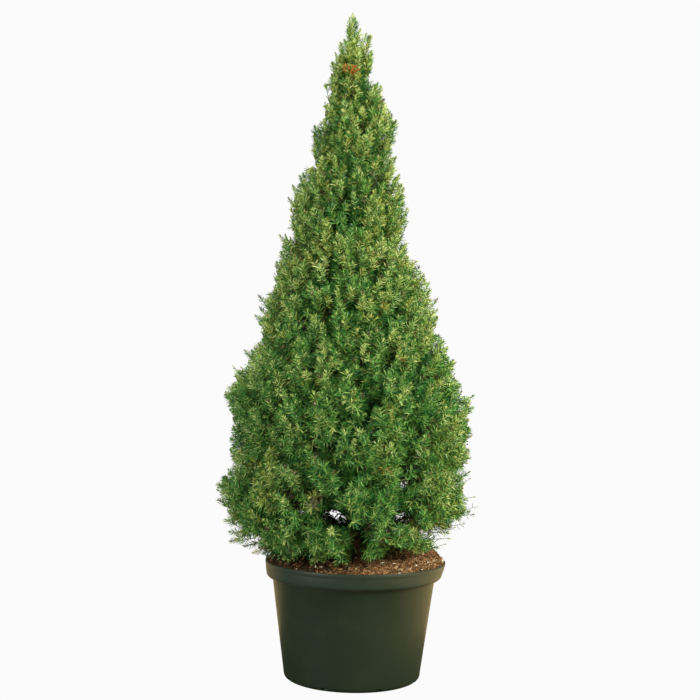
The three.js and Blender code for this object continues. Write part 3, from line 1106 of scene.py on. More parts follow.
PLUME_STRETCH = 0.5  # of heights between plumes, which are taller than wide
PLUME_SPACING = (0.042, 0.027)  # at the crown's foot and at its top
HOLLOW_DEPTH = (0.025, 0.015)  # between plumes, likewise


def squashed(points):
    return points * np.array([1, 1, PLUME_STRETCH])


plume_index = thin_out(squashed(shell_places), by_height(PLUME_SPACING, shell_places))
plume_places = shell_places[plume_index]
plume_normals = shell_normals[plume_index]


def assign_plumes(places):
    """Each place's plume, and how near it is to a border between plumes, 0 at the border."""
    tree = kd_tree(squashed(plume_places))
    owner = np.zeros(len(places), int)
    border = np.zeros(len(places))
    for k, place in enumerate(squashed(places)):
        (_, first, near), (_, _, far) = tree.find_n(place, 2)
        owner[k] = first
        border[k] = (far - near) / (far + near + 1e-6)
    return owner, border


def smoothstep(low, high, values):
    t = np.clip((values - low) / (high - low), 0, 1)
    return t * t * (3 - 2 * t)


# The layers of shoots: 0 is the outer one, 1 to 3 are older shoots behind it.
SPIRE = 4  # the spire's own upright shoots
LEADING = 5  # shoots that stand out
BARE = 6  # twigs with few needles left

CLIMB_HEIGHTS = [0, 0.05, 0.15, 0.3, 0.5, 0.75, 1]
CLIMB_DEGREES = [-12, 10, 34, 54, 66, 76, 86]


def rise_of_shoots(points, normals):
    """How shoots grow: steeply near the top, outwards below, a little down under the skirt."""
    height = up_the_crown(points[:, 2])
    climb = np.radians(np.interp(height, CLIMB_HEIGHTS, CLIMB_DEGREES))
    outwards = outwards_at(points)
    grown = outwards * np.cos(climb)[:, None] + UP * np.sin(climb)[:, None]
    facing = np.interp(height, [0, 0.3, 1], [0.5, 0.3, 0.1])[:, None]
    return unit(grown + facing * normals)


HOLLOW_WIDTH = 0.34  # of a plume's border, where it slopes down to the hollow
OUTER_DEPTH = (0.002, 0.009)
OUTER_LENGTH = (0.022, 0.036)
INNER_LENGTH = (0.028, 0.045)
LEADING_SHARE = 0.07  # of the outer shoots, besides one in each plume
LEADING_REACH = (-0.002, 0.007)  # how far they stand out


def leading_shoots(owner, border):
    """Which outer shoots stand out: the middle one of each plume, and some others."""
    leading = random.uniform(size=len(owner)) < LEADING_SHARE
    for plume in range(len(plume_places)):
        mine = np.flatnonzero(owner == plume)
        if len(mine):
            leading[mine[border[mine].argmax()]] = True
    return leading


def shoot_group(tips, directions, lengths, layer, depth=0.0, owner=None):
    """Shoots as columns. A shoot belongs to the plume nearest its tip, if no other is given."""
    if owner is None:
        owner, _ = assign_plumes(tips)
    return {"tips": tips, "directions": directions, "lengths": lengths, "owner": owner,
            "depth": np.broadcast_to(depth, len(tips)), "layer": np.broadcast_to(layer, len(tips))}


def outer_shoots():
    owner, border = assign_plumes(shell_places)
    height = up_the_crown(shell_places[:, 2])
    slope = (1 - smoothstep(0, HOLLOW_WIDTH, border)) ** 1.5
    depth = by_height(HOLLOW_DEPTH, shell_places) * slope
    depth += random.uniform(*OUTER_DEPTH, len(depth)) * (1 - 0.5 * height)
    growth = rise_of_shoots(shell_places, shell_normals)
    tips = shell_places - shell_normals * depth[:, None]
    lean = unit(tips - plume_places[owner] + 0.02 * growth)
    wander = random.normal(0, 1, tips.shape) * (0.3 - 0.14 * height)[:, None]
    directions = unit(growth + 0.25 * lean + wander)
    lengths = random.uniform(*OUTER_LENGTH, len(tips)) * (1 - 0.15 * height)

    leading = leading_shoots(owner, border) & (growth[:, 2] > 0)
    rise = unit(growth + 0.6 * UP)
    reach = random.uniform(*LEADING_REACH, len(tips))
    tips[leading] = (shell_places + rise * reach[:, None])[leading]
    directions[leading] = unit(rise + random.normal(0, 0.1, tips.shape))[leading]
    lengths[leading] = (0.026 + reach)[leading]
    layer = np.where(leading, LEADING, 0)
    return shoot_group(tips, directions, lengths, layer, np.where(leading, 0.0, depth), owner)


# The layers of older shoots behind the outer ones: spacing, least and greatest depth.
INNER_LAYERS = [(0.0126, 0.018, 0.044), (0.0175, 0.044, 0.085), (0.021, 0.080, 0.130)]


def inner_shoots(layer):
    """One sparser layer of older shoots behind the outer ones."""
    spacing, shallow, deep = INNER_LAYERS[layer - 1]
    order = random.permutation(len(shell_places))
    closer = 1 - 0.3 * up_the_crown(shell_places[order, 2])
    pick = order[thin_out(shell_places[order], spacing * closer)]
    places, normals = shell_places[pick], shell_normals[pick]
    axis = trunk_at(places[:, 2])
    reach = np.linalg.norm((places - axis)[:, :2], axis=1)
    depth = np.minimum(random.uniform(shallow, deep, len(places)), 0.22 * (1 + layer) * reach)
    roomy = reach > 1.3 * shallow
    places, normals, depth = places[roomy], normals[roomy], depth[roomy]
    outwards = outwards_at(places)
    tips = places - outwards * depth[:, None] + random.normal(0, 0.005, places.shape)
    owner, _ = assign_plumes(places)
    directions = unit(rise_of_shoots(places, normals) + random.normal(0, 0.35, tips.shape))
    lengths = random.uniform(*INNER_LENGTH, len(tips))
    return shoot_group(tips, directions, lengths, layer, depth, owner)


# Upright shoots that make the spire: their tips across, up and back, and their lengths.
SPIRE_SHOOTS = in_metres([
    (-182, 10265, -20, 660), (-225, 10205, 20, 560), (-140, 10215, 10, 560),
    (-195, 10095, -90, 500), (-230, 10085, 70, 500), (-110, 10125, -30, 500),
    (-60, 10045, 60, 500), (-100, 9915, -100, 440), (30, 9955, -30, 460), (75, 9925, 10, 500),
    (120, 9685, -40, 400), (90, 9605, -140, 400), (110, 9565, 120, 400), (-300, 9865, -20, 460),
    (-360, 9815, 10, 460), (-330, 9685, -120, 400), (-340, 9665, 120, 400), (-475, 9505, -20, 400),
    (-430, 9405, 100, 360), (-420, 9385, -120, 360), (-580, 9160, 0, 340), (225, 9190, -40, 440),
    (275, 9160, 80, 400), (320, 8940, -20, 360), (520, 8620, 0, 400), (-730, 8505, 0, 380),
    (-180, 9865, -200, 440), (-20, 9765, -200, 440), (-240, 9745, -240, 240),
    (-100, 9655, -280, 180), (-265, 9400, -280, 140), (-205, 9375, -310, 130),
    (-150, 9385, -300, 130), (-140, 9865, 200, 500), (-10, 9745, 200, 440), (-250, 9715, 220, 440),
    (-120, 9625, 280, 440),
])

# Bare or nearly bare shoots at the lower right: the same, and their rise in degrees.
BARE_SHOOTS = in_metres([
    (1764, 3110, -100, 220, 43), (1842, 2827, -60, 300, 12), (1894, 2662, 40, 360, 19),
    (1830, 2560, -100, 300, 6), (1684, 2414, -120, 260, 12), (1758, 3566, 120, 200, 34),
    (1460, 2195, -200, 300, 4), (1390, 2130, -340, 260, 20), (1300, 2290, -160, 300, 14),
    (1150, 2270, -300, 260, 28),
])

# Shoots that make the outline's tips and the skirt's lower edge: the same columns, but across and
# up as they show on the viewing plane.
OUTLINE_SHOOTS = in_metres([
    (-1056, 7591, 0, 340, 66), (-1115, 7398, 0, 340, 60), (-1244, 6816, 0, 380, 60),
    (-1550, 5876, 0, 400, 58), (-1531, 5690, 40, 360, 52), (-1591, 5564, 0, 360, 46),
    (-1917, 4766, 0, 380, 52), (-1965, 3160, 0, 360, 34), (-1930, 2202, 0, 340, 0),
    (-1911, 2063, -60, 340, -8), (-1693, 1989, -100, 340, -14), (-1551, 1893, -120, 320, -22),
    (-1460, 1970, -240, 300, -15), (-1395, 1881, -200, 300, -28), (111, 9947, 0, 300, 80),
    (1214, 5875, 0, 380, 58), (1218, 5712, 40, 360, 52), (1513, 4894, 0, 360, 52),
    (1598, 4523, 0, 340, 46), (1803, 4387, 0, 360, 36), (1761, 2583, -60, 300, 8),
    (1560, 2340, -100, 340, 8), (1455, 2252, -140, 340, 0), (1305, 2016, -200, 320, -6),
    (-1335, 1850, -300, 320, -30), (-1290, 1835, -440, 320, -32), (-1223, 1858, -500, 340, -30),
    (-1165, 1795, -660, 340, -34), (-1010, 1785, -820, 340, -34), (-1082, 1808, -750, 340, -32),
    (-943, 1811, -880, 340, -34), (-646, 1739, -1060, 340, -36), (-461, 1779, -1100, 340, -34),
    (-273, 1731, -1140, 340, -36), (-118, 1755, -1140, 340, -34),
])


def from_viewing_plane(across, up, depth):
    """The point at a depth that shows at a place of the viewing plane."""
    share = (depth + VIEW_DISTANCE) / VIEW_DISTANCE
    x, z = EYE[0] + (across - EYE[0]) * share, EYE[2] + (up - EYE[2]) * share
    return np.stack([x, depth, z], -1)


def placed_shoots():
    """The shoots given in lists: the spire's, the bare ones and the outline's."""
    spire, bare, outline = (np.array(t) for t in (SPIRE_SHOOTS, BARE_SHOOTS, OUTLINE_SHOOTS))
    tips = spire[:, [0, 2, 1]]
    wander = random.normal(0, 0.05, tips.shape)
    directions = unit(UP + 0.12 * outwards_at(tips) + wander)
    groups = [shoot_group(tips, directions, spire[:, 3], SPIRE)]
    climb = np.radians(bare[:, 4])
    directions = np.stack([np.cos(climb), 0 * climb, np.sin(climb)], -1)
    groups.append(shoot_group(bare[:, [0, 2, 1]], directions, bare[:, 3], BARE))
    tips = from_viewing_plane(*outline[:, :3].T)
    climb = np.radians(outline[:, 4])[:, None]
    directions = unit(outwards_at(tips) * np.cos(climb) + UP * np.sin(climb))
    groups.append(shoot_group(tips, directions, outline[:, 3], LEADING))
    return groups


OPENING_ROOM = (0.004, 0.003)  # kept free of a shoot's middle and of its tip
NOTCH_ROOM = (0.001, -0.002)


def gather_shoots():
    """All the shoots. Those of the rule keep out of openings, notches, hollows and thin places."""
    groups = [outer_shoots(), inner_shoots(1), inner_shoots(2), inner_shoots(3)]
    ruled = sum(len(group["tips"]) for group in groups)
    groups += placed_shoots()
    shoots = {key: np.concatenate([group[key] for group in groups]) for key in groups[0]}
    keep = np.ones(len(shoots["tips"]), bool)
    outer = (shoots["layer"] == 0) | (shoots["layer"] == LEADING)
    middles = shoots["tips"] - 0.4 * shoots["directions"] * shoots["lengths"][:, None]
    for places, (round_middle, round_tip) in ((OPENINGS, OPENING_ROOM), (NOTCHES, NOTCH_ROOM)):
        for place in places:
            keep &= ~inside_place(middles, place, round_middle)
            keep &= ~inside_place(shoots["tips"], place, round_tip)
    near_side = middles[:, 1] < 0
    for place in HOLLOWS:
        keep &= ~(inside_place(middles, place) & near_side)
        keep &= ~(inside_place(shoots["tips"], place) & near_side)
    for place in THIN_PLACES:
        here = inside_place(middles, place) & near_side & outer
        keep &= ~(here & (random.uniform(size=len(keep)) > place[4]))
    keep[ruled:] = True
    shoots = {key: values[keep] for key, values in shoots.items()}
    shoots["bases"] = shoots["tips"] - shoots["directions"] * shoots["lengths"][:, None]
    shoots["bases"] -= 0.1 * shoots["lengths"][:, None] * outwards_at(shoots["bases"])
    return shoots


shoots = gather_shoots()


# ---- Boughs, branches and twigs that carry the shoots ----

LIMB_ROOM = 0.004  # kept round an opening
LARGEST_BEND = 0.012
SKIRT_RUN_ON = 0.1  # of a low bough's length, straight on past its solid
SKIRT_BEYOND = np.array([0.45, 0.45, 0.18])  # of its way to the mass's middle, past that
BOUGH_CLIMB = 0.55  # from the trunk to the mass's middle, for each metre outwards
BOUGH_SAG = 0.08
BOUGH_REACH = 1.35  # 1 would end in the mass's middle
LOWEST_BOUGH = 0.02  # over the trunk's foot
BOUGH_STATIONS = 12
BOUGH_FINE_STATIONS = 34
BOUGH_SIDES = 14
BOUGH_PLATES = 260.0  # in a metre
BOUGH_RELIEF = 0.00045
BRANCH_STATIONS = 8
BRANCH_SIDES = 6
BRANCH_SET_BACK = 0.75  # how far back on its bough a branch leaves, for each metre of its reach
TWIG_STATIONS = 3
TWIG_SIDES = 3
TWIG_SET_BACK = 0.8
TWIG_WANDER = 0.0012
PATH_SPOTS = 60  # where a branch may leave its bough, and a twig its branch


def mass_of_plume():
    """Each plume's foliage mass, by the nearest mass surface."""
    owners = []
    ends = np.cumsum([len(mass_meshes[name][1]) for name in mass_names])
    for place in plume_places:
        _, _, face, _ = crown_tree.find_nearest(Vector(place))
        owners.append(int(np.searchsorted(ends, face, side="right")))
    return np.array(owners)


plume_mass = mass_of_plume()


def limb_ends(node):
    """The inner and outer end of a bough's solid."""
    points, _ = node_arrays(node)
    reach = np.linalg.norm((points - trunk_at(points[:, 2]))[:, :2], axis=1)
    inner = points[reach < reach.min() + 0.004].mean(0)
    outer = points[reach > reach.max() - 0.006].mean(0)
    return inner, outer


def beside_openings(paths):
    """Limbs bent up or down, to pass beside the openings and not across them."""
    paths = paths.copy()
    for across_middle, up_middle, half_width, half_height in OPENINGS:
        across, up = on_viewing_plane(paths.reshape(-1, 3))
        reach = (across.reshape(paths.shape[:2]) - across_middle) / (half_width + 0.006)
        offset = up.reshape(paths.shape[:2]) - up_middle
        room = (half_height + LIMB_ROOM) * np.sqrt(np.clip(1 - reach**2, 0, None))
        inside = np.abs(offset) < room
        side = np.where((offset * inside).sum(1) < 0, -1.0, 1.0)[:, None]
        shift = np.where(inside, side * room - offset, 0)
        shift[:, 1:-1] = 0.25 * shift[:, :-2] + 0.5 * shift[:, 1:-1] + 0.25 * shift[:, 2:]
        shift[:, 0] = 0
        shift[:, -1] = 0
        paths[..., 2] += np.clip(shift, -LARGEST_BEND, LARGEST_BEND)
    return paths


def main_boughs():
    """One bough into each mass: its path from the trunk, as stations."""
    paths = []
    for name in mass_names:
        points, _ = mass_meshes[name]
        centre = points.mean(0)
        if name.startswith("skirt"):
            inner, outer = limb_ends(name.replace("_mass_", "_bough_"))
            start = trunk_at([inner[2]])[0]
            middle = outer + SKIRT_RUN_ON * (outer - inner)
            end = centre + SKIRT_BEYOND * (centre - start)
        else:
            reach = np.linalg.norm((centre - trunk_at([centre[2]])[0])[:2])
            low = centre[2] - BOUGH_CLIMB * reach - 0.01
            start = trunk_at([max(low, trunk_line[0, 2] + LOWEST_BOUGH)])[0]
            middle = start + 0.55 * (centre - start) - BOUGH_SAG * reach * UP
            end = start + BOUGH_REACH * (centre - start)
        paths.append(bent_paths(start[None], middle[None], end[None], BOUGH_STATIONS)[0])
    return beside_openings(np.array(paths))


bough_paths = main_boughs()


def nearest_forward(path, targets, slope):
    """Where on a path a limb leaves for each target, set back by its reach, and which way."""
    steps = np.linalg.norm(np.diff(path, axis=0), axis=1)
    travel = np.concatenate([[0], np.cumsum(steps)])
    fine = np.linspace(0, travel[-1], PATH_SPOTS)
    spots = np.stack([np.interp(fine, travel, path[:, i]) for i in range(3)], -1)
    gaps = np.linalg.norm(targets[:, None, :] - spots[None], axis=2)
    nearest = gaps.argmin(1)
    set_back = np.clip(fine[nearest] - slope * gaps.min(1), 0.12 * travel[-1], None)
    chosen = np.searchsorted(fine, set_back).clip(0, PATH_SPOTS - 1)
    along = unit(np.gradient(spots, axis=0))
    return spots[chosen], along[chosen]


def leave_paths(paths, owner, targets, slope):
    """For each target, where a limb leaves its own path, which way that runs, and the gap."""
    starts = np.zeros_like(targets)
    along = np.zeros_like(targets)
    for k, path in enumerate(paths):
        mine = owner == k
        if mine.any():
            starts[mine], along[mine] = nearest_forward(path, targets[mine], slope)
    return starts, along, np.linalg.norm(targets - starts, axis=1)[:, None]


def plume_branches():
    """A branch from its bough into each plume, ending a little behind the plume's face."""
    growth = rise_of_shoots(plume_places, plume_normals)
    ends = plume_places - 0.012 * growth - 0.007 * plume_normals
    starts, along, gap = leave_paths(bough_paths, plume_mass, ends, BRANCH_SET_BACK)
    middles = starts + 0.35 * gap * unit(along + 0.6 * unit(ends - starts))
    middles += 0.15 * (ends - 0.5 * gap * growth - middles)
    return beside_openings(bent_paths(starts, middles, ends, BRANCH_STATIONS))


branch_paths = plume_branches()


def twig_paths():
    """Each shoot's twig: from its plume's branch to the shoot's foot, then along the shoot."""
    bases, directions = shoots["bases"], shoots["directions"]
    starts, along, gap = leave_paths(branch_paths, shoots["owner"], bases, TWIG_SET_BACK)
    middles = starts + 0.5 * gap * unit(along + directions)
    inner = bent_paths(starts, middles, bases, TWIG_STATIONS)
    bend = bases + 0.5 * shoots["lengths"][:, None] * directions
    bend += random.normal(0, TWIG_WANDER, bend.shape)
    return inner, bent_paths(bases, bend, shoots["tips"], TWIG_STATIONS)


twigs_inner, shoot_paths = twig_paths()


def tapered(paths, start, end):
    """Radii along each path, from one at its start to one at its end."""
    t = np.linspace(0, 1, paths.shape[1])[None, :]
    start = np.broadcast_to(np.asarray(start, float), (len(paths),))[:, None]
    end = np.broadcast_to(np.asarray(end, float), (len(paths),))[:, None]
    return start * (1 - t) + end * t


def make_limbs():
    thick = 0.0011 + 0.0013 * (1 - up_the_crown(bough_paths[:, 0, 2]))
    stations = np.arange(BOUGH_STATIONS)
    fine = np.linspace(0, BOUGH_STATIONS - 1, BOUGH_FINE_STATIONS)
    fine_paths = np.array([
        np.stack([np.interp(fine, stations, path[:, i]) for i in range(3)], -1)
        for path in bough_paths
    ])
    radii = tapered(fine_paths, thick, 0.4 * thick)
    points, triangles = tube_arrays(fine_paths, radii, BOUGH_SIDES)
    relief = BOUGH_RELIEF * (ridged(points, BOUGH_PLATES) - 0.6)
    centres = np.repeat(fine_paths.reshape(-1, 3), BOUGH_SIDES, 0)
    points += unit(points - centres) * relief[:, None]
    boughs = triangle_object("boughs_bark", points, triangles, [bark], smooth=True)
    replaced = sorted(name for name in nodes if "_bough_" in name)
    finish_piece(boughs, replaced)

    stout = 0.0009 + 0.0006 * (1 - up_the_crown(branch_paths[:, -1, 2]))
    branches = tube_arrays(branch_paths, tapered(branch_paths, stout, 0.5 * stout), BRANCH_SIDES)
    inner = tube_arrays(twigs_inner, tapered(twigs_inner, 0.0007, 0.0004), TWIG_SIDES)
    chords = shoot_paths[:, ::TWIG_STATIONS - 1]
    young = tube_arrays(chords, tapered(chords, 0.00065, 0.0003), TWIG_SIDES)
    twig_bark = plain("twig_bark", linear(84, 76, 48), 0.85, 0.1)
    young_bark = plain("young_bark", linear(84, 96, 44), 0.8, 0.2)
    points, triangles = join_arrays([branches, inner, young])
    slots = np.zeros(len(triangles), int)
    slots[len(branches[1]) + len(inner[1]):] = 1
    barks = [twig_bark, young_bark]
    finish_piece(triangle_object("twigs", points, triangles, barks, slots, smooth=True))


make_limbs()


# ---- Needles ----

# The needle colours, from the freshest growth to dead and bleached sprays, and their places in
# the order of this table.
NEEDLE_COLORS = {
    "needle_fresh": linear(196, 208, 132),
    "needle_light": linear(160, 186, 100),
    "needle_mid": linear(118, 162, 80),
    "needle_full": linear(84, 142, 60),
    "needle_deep": linear(50, 116, 48),
    "needle_blue": linear(26, 90, 44),
    "needle_olive": linear(148, 160, 70),
    "needle_straw": linear(180, 160, 74),
    "needle_rust": linear(198, 100, 52),
    "needle_bleached": linear(240, 228, 192),
    "needle_dusky": linear(98, 96, 66),
}
FRESH, LIGHT, MID, FULL, DEEP, BLUE, OLIVE, STRAW, RUST, BLEACHED, DUSKY = range(11)
LIGHTER = np.array([FRESH, FRESH, LIGHT, MID, FULL, DEEP, LIGHT, OLIVE, STRAW, BLEACHED, OLIVE])
DARKER = np.array([MID, FULL, DEEP, DEEP, BLUE, BLUE, FULL, MID, MID, BLEACHED, DUSKY])

# Sprays of one colour at a known place: across, up, half width, half height, colour, share.
COLORED_PLACES = in_metres([
    (-182, 10265, 20, 30, OLIVE, 1.0), (-225, 10205, 20, 30, DEEP, 1.0),
    (-110, 10125, 20, 30, DEEP, 1.0), (-195, 10095, 20, 30, OLIVE, 1.0),
    (-200, 9450, 100, 80, RUST, 1.0), (-320, 9480, 70, 90, STRAW, 0.9),
    (-570, 6420, 60, 140, STRAW, 0.5), (250, 6000, 70, 140, STRAW, 0.5),
    (-1180, 3370, 70, 160, STRAW, 0.5), (-150, 3320, 60, 120, STRAW, 0.5),
    (-620, 5210, 80, 120, RUST, 0.2), (-1500, 1950, 170, 130, BLEACHED, 0.8),
    # Painted shade: the dusky and blue sprays low on the skirt's left (across -142 and -126 mm)
    # and the dusky ones before the trunk's foot (across 30 mm) darken where the crown shades
    # itself.
    (-1420, 1900, 120, 120, DUSKY, 0.6), (-1260, 1870, 150, 120, BLUE, 0.8),
    (300, 2040, 180, 220, DUSKY, 0.4), (-570, 2700, 240, 120, DUSKY, 0.35),
    (1360, 2260, 260, 140, DUSKY, 0.4), (1800, 4360, 80, 100, DUSKY, 0.8),
    # Painted light in these rows to the table's end: LIGHT and FRESH sprays where plumes catch the
    # light.
    (-1110, 5780, 120, 160, LIGHT, 0.8), (660, 6730, 120, 180, LIGHT, 0.5),
    (1550, 2830, 200, 200, LIGHT, 0.5), (1050, 2170, 180, 140, FRESH, 0.5),
    (850, 2300, 160, 100, FRESH, 0.6), (1550, 3330, 100, 140, LIGHT, 0.5),
    (-1760, 3870, 100, 140, LIGHT, 0.5), (-1760, 4700, 100, 140, LIGHT, 0.5),
    (590, 5250, 90, 120, LIGHT, 0.6), (530, 3660, 90, 120, LIGHT, 0.6),
    (-290, 2300, 100, 80, LIGHT, 0.6), (660, 4800, 90, 120, LIGHT, 0.6),
    (-600, 6450, 90, 120, FRESH, 0.9), (1120, 5340, 90, 120, FRESH, 0.5),
    (320, 6700, 80, 140, FRESH, 0.5), (310, 8900, 80, 120, FRESH, 0.5),
    (-1200, 3160, 100, 140, LIGHT, 0.6), (-1860, 3370, 100, 120, LIGHT, 0.6),
    (-1060, 6800, 80, 120, LIGHT, 0.6), (1350, 3090, 100, 120, LIGHT, 0.5),
    (-430, 6740, 80, 120, LIGHT, 0.5), (1310, 2470, 120, 100, LIGHT, 0.5),
])

NEEDLES = [46, 27, 20, 18, 90, 58, 10]  # on one shoot, by layer
NEEDLE_WIDTHS = [0.00110, 0.0016, 0.0022, 0.0028, 0.0011, 0.0011, 0.0009]  # by layer
NEEDLE_LENGTH = 0.0122
NEEDLE_FACES = np.array([[0, 1, 2], [0, 2, 3], [3, 2, 4]])
PIECE_LIMIT = 190000  # triangles in one joined piece
NEEDLE_CROWDING = 0.66  # less than 1 sets them closer towards the shoot's tip
SPLAY_PLACES = [0, 0.5, 0.84, 0.93, 1]  # along the shoot; the next three rows likewise
SPLAY_DEGREES = [80, 72, 62, 40, 14]
LENGTH_PLACES = [0, 0.2, 0.8, 0.93, 1]
LENGTH_SHARES = [0.85, 1.0, 0.95, 0.66, 0.5]
SPIRE_SCALE = 0.82 / 0.76  # of the spire's needles, which its height shortens
LEADING_SCALE = 0.7
LEADING_SPLAY = 0.82
LENGTH_UP = (1.14, -0.40)  # at the crown's foot, and its change up to the top
LENGTH_SPREAD = (0.82, 1.16)
CROSSING_SHARE = 0.34  # of needles that may reach into an opening
WAIST = 0.66  # along the needle, where it bends and is widest
FOOT_WIDTH = 0.7
# Tones count the colours from FRESH to BLUE. Pairs are a value at the crown's foot, and its
# change up to the top.
TONE = (2.9, -1.0)
PLUME_MOOD = 0.8
MOOD_WEIGHT = (0.16, 0.36)
TONE_DEEPER = (24, 34)  # for each metre into the crown
TONE_SPREAD = (0.20, 0.28)
# Chances of a darker or lighter needle, at the shoot's foot, and the change up to its tip.
DARKER_BELOW = [(0.42, -0.20), (0.24, -0.09)]
LIGHTER_ABOVE = [(0.78, -0.25), (0.92, -0.08)]
WARM_IN_PLUME = 0.5  # share of warm shoots in a warm plume
WARM_ELSEWHERE = (0.03, 0.12)
WARM_HEIGHTS = [0, 0.3, 0.5, 1]
WARM_PLUMES = [0.1, 0.15, 0.6, 0.95]  # share of warm plumes at those heights
STRAY_SHARE = 0.005  # of straw-coloured shoots
DUSKY_TIPS = 0.045  # share of shoots with a dusky tip
DUSKY_FROM = 0.86  # along the shoot
LAYER_TONES = [0.0, 0.15, -0.2, -0.5, 0.2, -0.3, -0.3]  # deeper in, lighter: painted light that lifts the deep shade inside the crown


def sloping(line, values):
    """A line through its value at 0, with its slope."""
    start, slope = line
    return start + slope * values


def shoot_colors():
    """One body colour for each shoot, by its height, its plume and its depth in the crown."""
    tips = shoots["tips"]
    height = up_the_crown(tips[:, 2])
    plume_mood = random.normal(0, PLUME_MOOD, len(plume_places))
    tone = sloping(TONE, height) + sloping(MOOD_WEIGHT, height) * plume_mood[shoots["owner"]]
    tone += sloping(TONE_DEEPER, height) * shoots["depth"]
    tone += random.normal(0, 1, len(tips)) * sloping(TONE_SPREAD, height)
    tone += np.array(LAYER_TONES)[shoots["layer"]]
    slots = np.clip(np.round(tone), LIGHT, BLUE).astype(int)
    warm_share = np.interp(height, WARM_HEIGHTS, WARM_PLUMES)
    plume_warm = random.uniform(size=len(plume_places))[shoots["owner"]] < warm_share
    share = np.where(plume_warm, WARM_IN_PLUME, sloping(WARM_ELSEWHERE, height))
    warm = random.uniform(size=len(tips)) < share
    slots[warm & (slots <= FULL)] = OLIVE
    stray = random.uniform(size=len(tips)) < STRAY_SHARE
    foremost = (shoots["layer"] == 0) | (shoots["layer"] >= SPIRE)
    slots[stray & foremost] = STRAW
    slots[shoots["layer"] == BARE] = DUSKY
    shown = (tips[:, 1] < 0.09 * (1 - height)) & foremost
    for *place, color, share in COLORED_PLACES:
        here = inside_place(tips, place) & shown & (random.uniform(size=len(tips)) < share)
        slots[here] = color
    return slots


def needles_on(pick, count):
    """Needle feet, directions, lengths and colours for the picked shoots."""
    paths = shoot_paths[pick]
    number = len(paths)
    order = (np.arange(count) + 0.5) / count
    t = order[None, :] ** NEEDLE_CROWDING
    t = np.clip(t + random.uniform(-0.012, 0.012, (number, count)), 0, 1)
    steps = paths.shape[1] - 1
    cell = np.minimum((t * steps).astype(int), steps - 1)
    within = (t * steps - cell)[..., None]
    rows = np.arange(number)[:, None]
    feet = paths[rows, cell] * (1 - within) + paths[rows, cell + 1] * within
    along = unit(paths[rows, cell + 1] - paths[rows, cell])
    first, second = square_to(along)
    bearing = GOLDEN_ANGLE * np.arange(count)[None, :] + random.uniform(0, FULL_TURN, (number, 1))
    bearing = bearing + random.normal(0, 0.25, (number, count))
    height = up_the_crown(paths[:, -1, 2])[:, None]
    splay = np.interp(t, SPLAY_PLACES, np.radians(SPLAY_DEGREES))
    splay = splay * (1 - 0.16 * height) + random.normal(0, 0.12, (number, count))
    layer = shoots["layer"][pick][:, None]
    splay = splay * np.where(layer == LEADING, LEADING_SPLAY, 1.0)
    sideways = np.cos(bearing)[..., None] * first + np.sin(bearing)[..., None] * second
    directions = along * np.cos(splay)[..., None] + sideways * np.sin(splay)[..., None]
    directions = unit(directions + 0.1 * UP)
    lengths = NEEDLE_LENGTH * np.interp(t, LENGTH_PLACES, LENGTH_SHARES)
    lengths = lengths * sloping(LENGTH_UP, height)
    lengths = lengths * np.where(layer == SPIRE, SPIRE_SCALE, 1.0)
    lengths = lengths * np.where((layer == LEADING) | (layer == BARE), LEADING_SCALE, 1.0)
    lengths = lengths * random.uniform(*LENGTH_SPREAD, (number, count))
    colors = np.repeat(shoot_slots[pick][:, None], count, 1)
    chance = random.uniform(size=t.shape)
    for line in DARKER_BELOW:
        colors = np.where(chance < sloping(line, t), DARKER[colors], colors)
    for line in LIGHTER_ABOVE:
        colors = np.where(chance > sloping(line, t), LIGHTER[colors], colors)
    dusky = random.uniform(size=number) < DUSKY_TIPS * (1 + 2 * (layer[:, 0] == LEADING))
    colors = np.where(dusky[:, None] & (t > DUSKY_FROM), DUSKY, colors)
    return feet.reshape(-1, 3), directions.reshape(-1, 3), lengths.ravel(), colors.ravel()


def needle_arrays(feet, directions, lengths, widths):
    """Needles as narrow blades with a slight bend and a short point, as points and triangles."""
    count = len(feet)
    first, second = square_to(directions)
    spin = random.uniform(0, FULL_TURN, count)[:, None]
    across = np.cos(spin) * first + np.sin(spin) * second
    bend = np.cross(directions, across)
    half = 0.5 * widths[:, None] * random.uniform(0.85, 1.15, (count, 1))
    long = lengths[:, None]
    waist = feet + WAIST * long * directions + random.normal(0, 0.035, (count, 1)) * long * bend
    foot_side, side = FOOT_WIDTH * half * across, half * across
    tips = feet + directions * long
    rims = [feet - foot_side, feet + foot_side, waist + side, waist - side, tips]
    points = np.stack(rims, 1)
    triangles = NEEDLE_FACES[None] + len(rims) * np.arange(count)[:, None, None]
    return points.reshape(-1, 3), triangles.reshape(-1, 3)


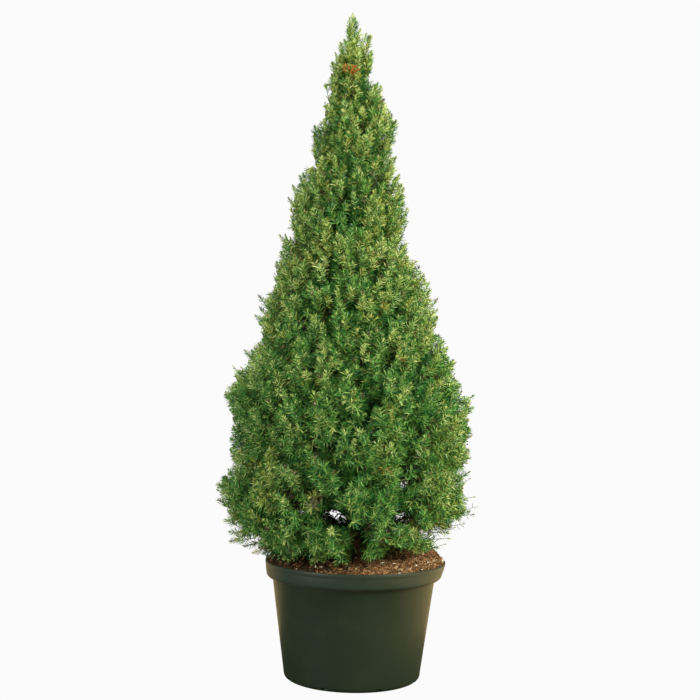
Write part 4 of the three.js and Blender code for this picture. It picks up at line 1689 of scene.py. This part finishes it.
def make_needles():
    layer = shoots["layer"]
    batches = [needles_on(np.flatnonzero(layer == k), count) for k, count in enumerate(NEEDLES)]
    widths = np.repeat(NEEDLE_WIDTHS, [len(batch[0]) for batch in batches])
    feet, directions, lengths, colors = (np.concatenate(values) for values in zip(*batches))
    tips = feet + directions * lengths[:, None]
    keep = np.ones(len(feet), bool)
    crossing = random.uniform(size=len(feet)) < CROSSING_SHARE
    for place in OPENINGS:
        inside = inside_place(tips, place, -0.002) | inside_place(feet, place, -0.002)
        keep &= crossing | ~inside
    for place in NOTCHES:
        keep &= ~inside_place(tips, place)
    kept = [values[keep] for values in (feet, directions, lengths, widths, colors)]
    feet, directions, lengths, widths, colors = kept
    order = np.argsort(feet[:, 2])
    materials = [plain(name, color, 0.42, 0.40) for name, color in NEEDLE_COLORS.items()]
    faces = len(NEEDLE_FACES)
    pieces = math.ceil(faces * len(order) / PIECE_LIMIT)
    for k, part in enumerate(np.array_split(order, pieces)):
        here = (values[part] for values in (feet, directions, lengths, widths))
        points, triangles = needle_arrays(*here)
        slots = np.repeat(colors[part], faces)
        piece = triangle_object(f"needles_{k + 1}", points, triangles, materials, slots)
        replaced = mass_names if k == 0 else ()
        finish_piece(piece, replaced)


shoot_slots = shoot_colors()
make_needles()


# ---- Buds ----

BUD_SHARE = 0.85  # of the outer shoots


def make_buds():
    """A small scaly bud at the end of each outer shoot."""
    pick = np.flatnonzero((shoots["layer"] == 0) | (shoots["layer"] >= SPIRE))
    pick = pick[random.uniform(size=len(pick)) < BUD_SHARE]
    tips = shoots["tips"][pick]
    along = unit(shoot_paths[pick, -1] - shoot_paths[pick, -2])
    first, second = square_to(along)
    turns = np.stack([first, second, along], -1)
    width = random.uniform(0.0009, 0.0014, len(pick))
    sizes = np.stack([width, width, 1.9 * width], -1)
    points, triangles = octahedra(tips + 0.0006 * along, sizes, turns)
    colors = [
        plain("bud_pale", linear(190, 190, 130), 0.7, 0.3),
        plain("bud_tan", linear(150, 126, 82), 0.7, 0.3),
        plain("bud_dark", linear(76, 60, 44), 0.7, 0.3),
    ]
    slots = random.choice(3, len(pick), p=[0.55, 0.25, 0.2])
    slots = np.repeat(slots, len(CRUMB_FACES))
    buds = triangle_object("buds", points, triangles, colors, slots)
    finish_piece(buds)


make_buds()
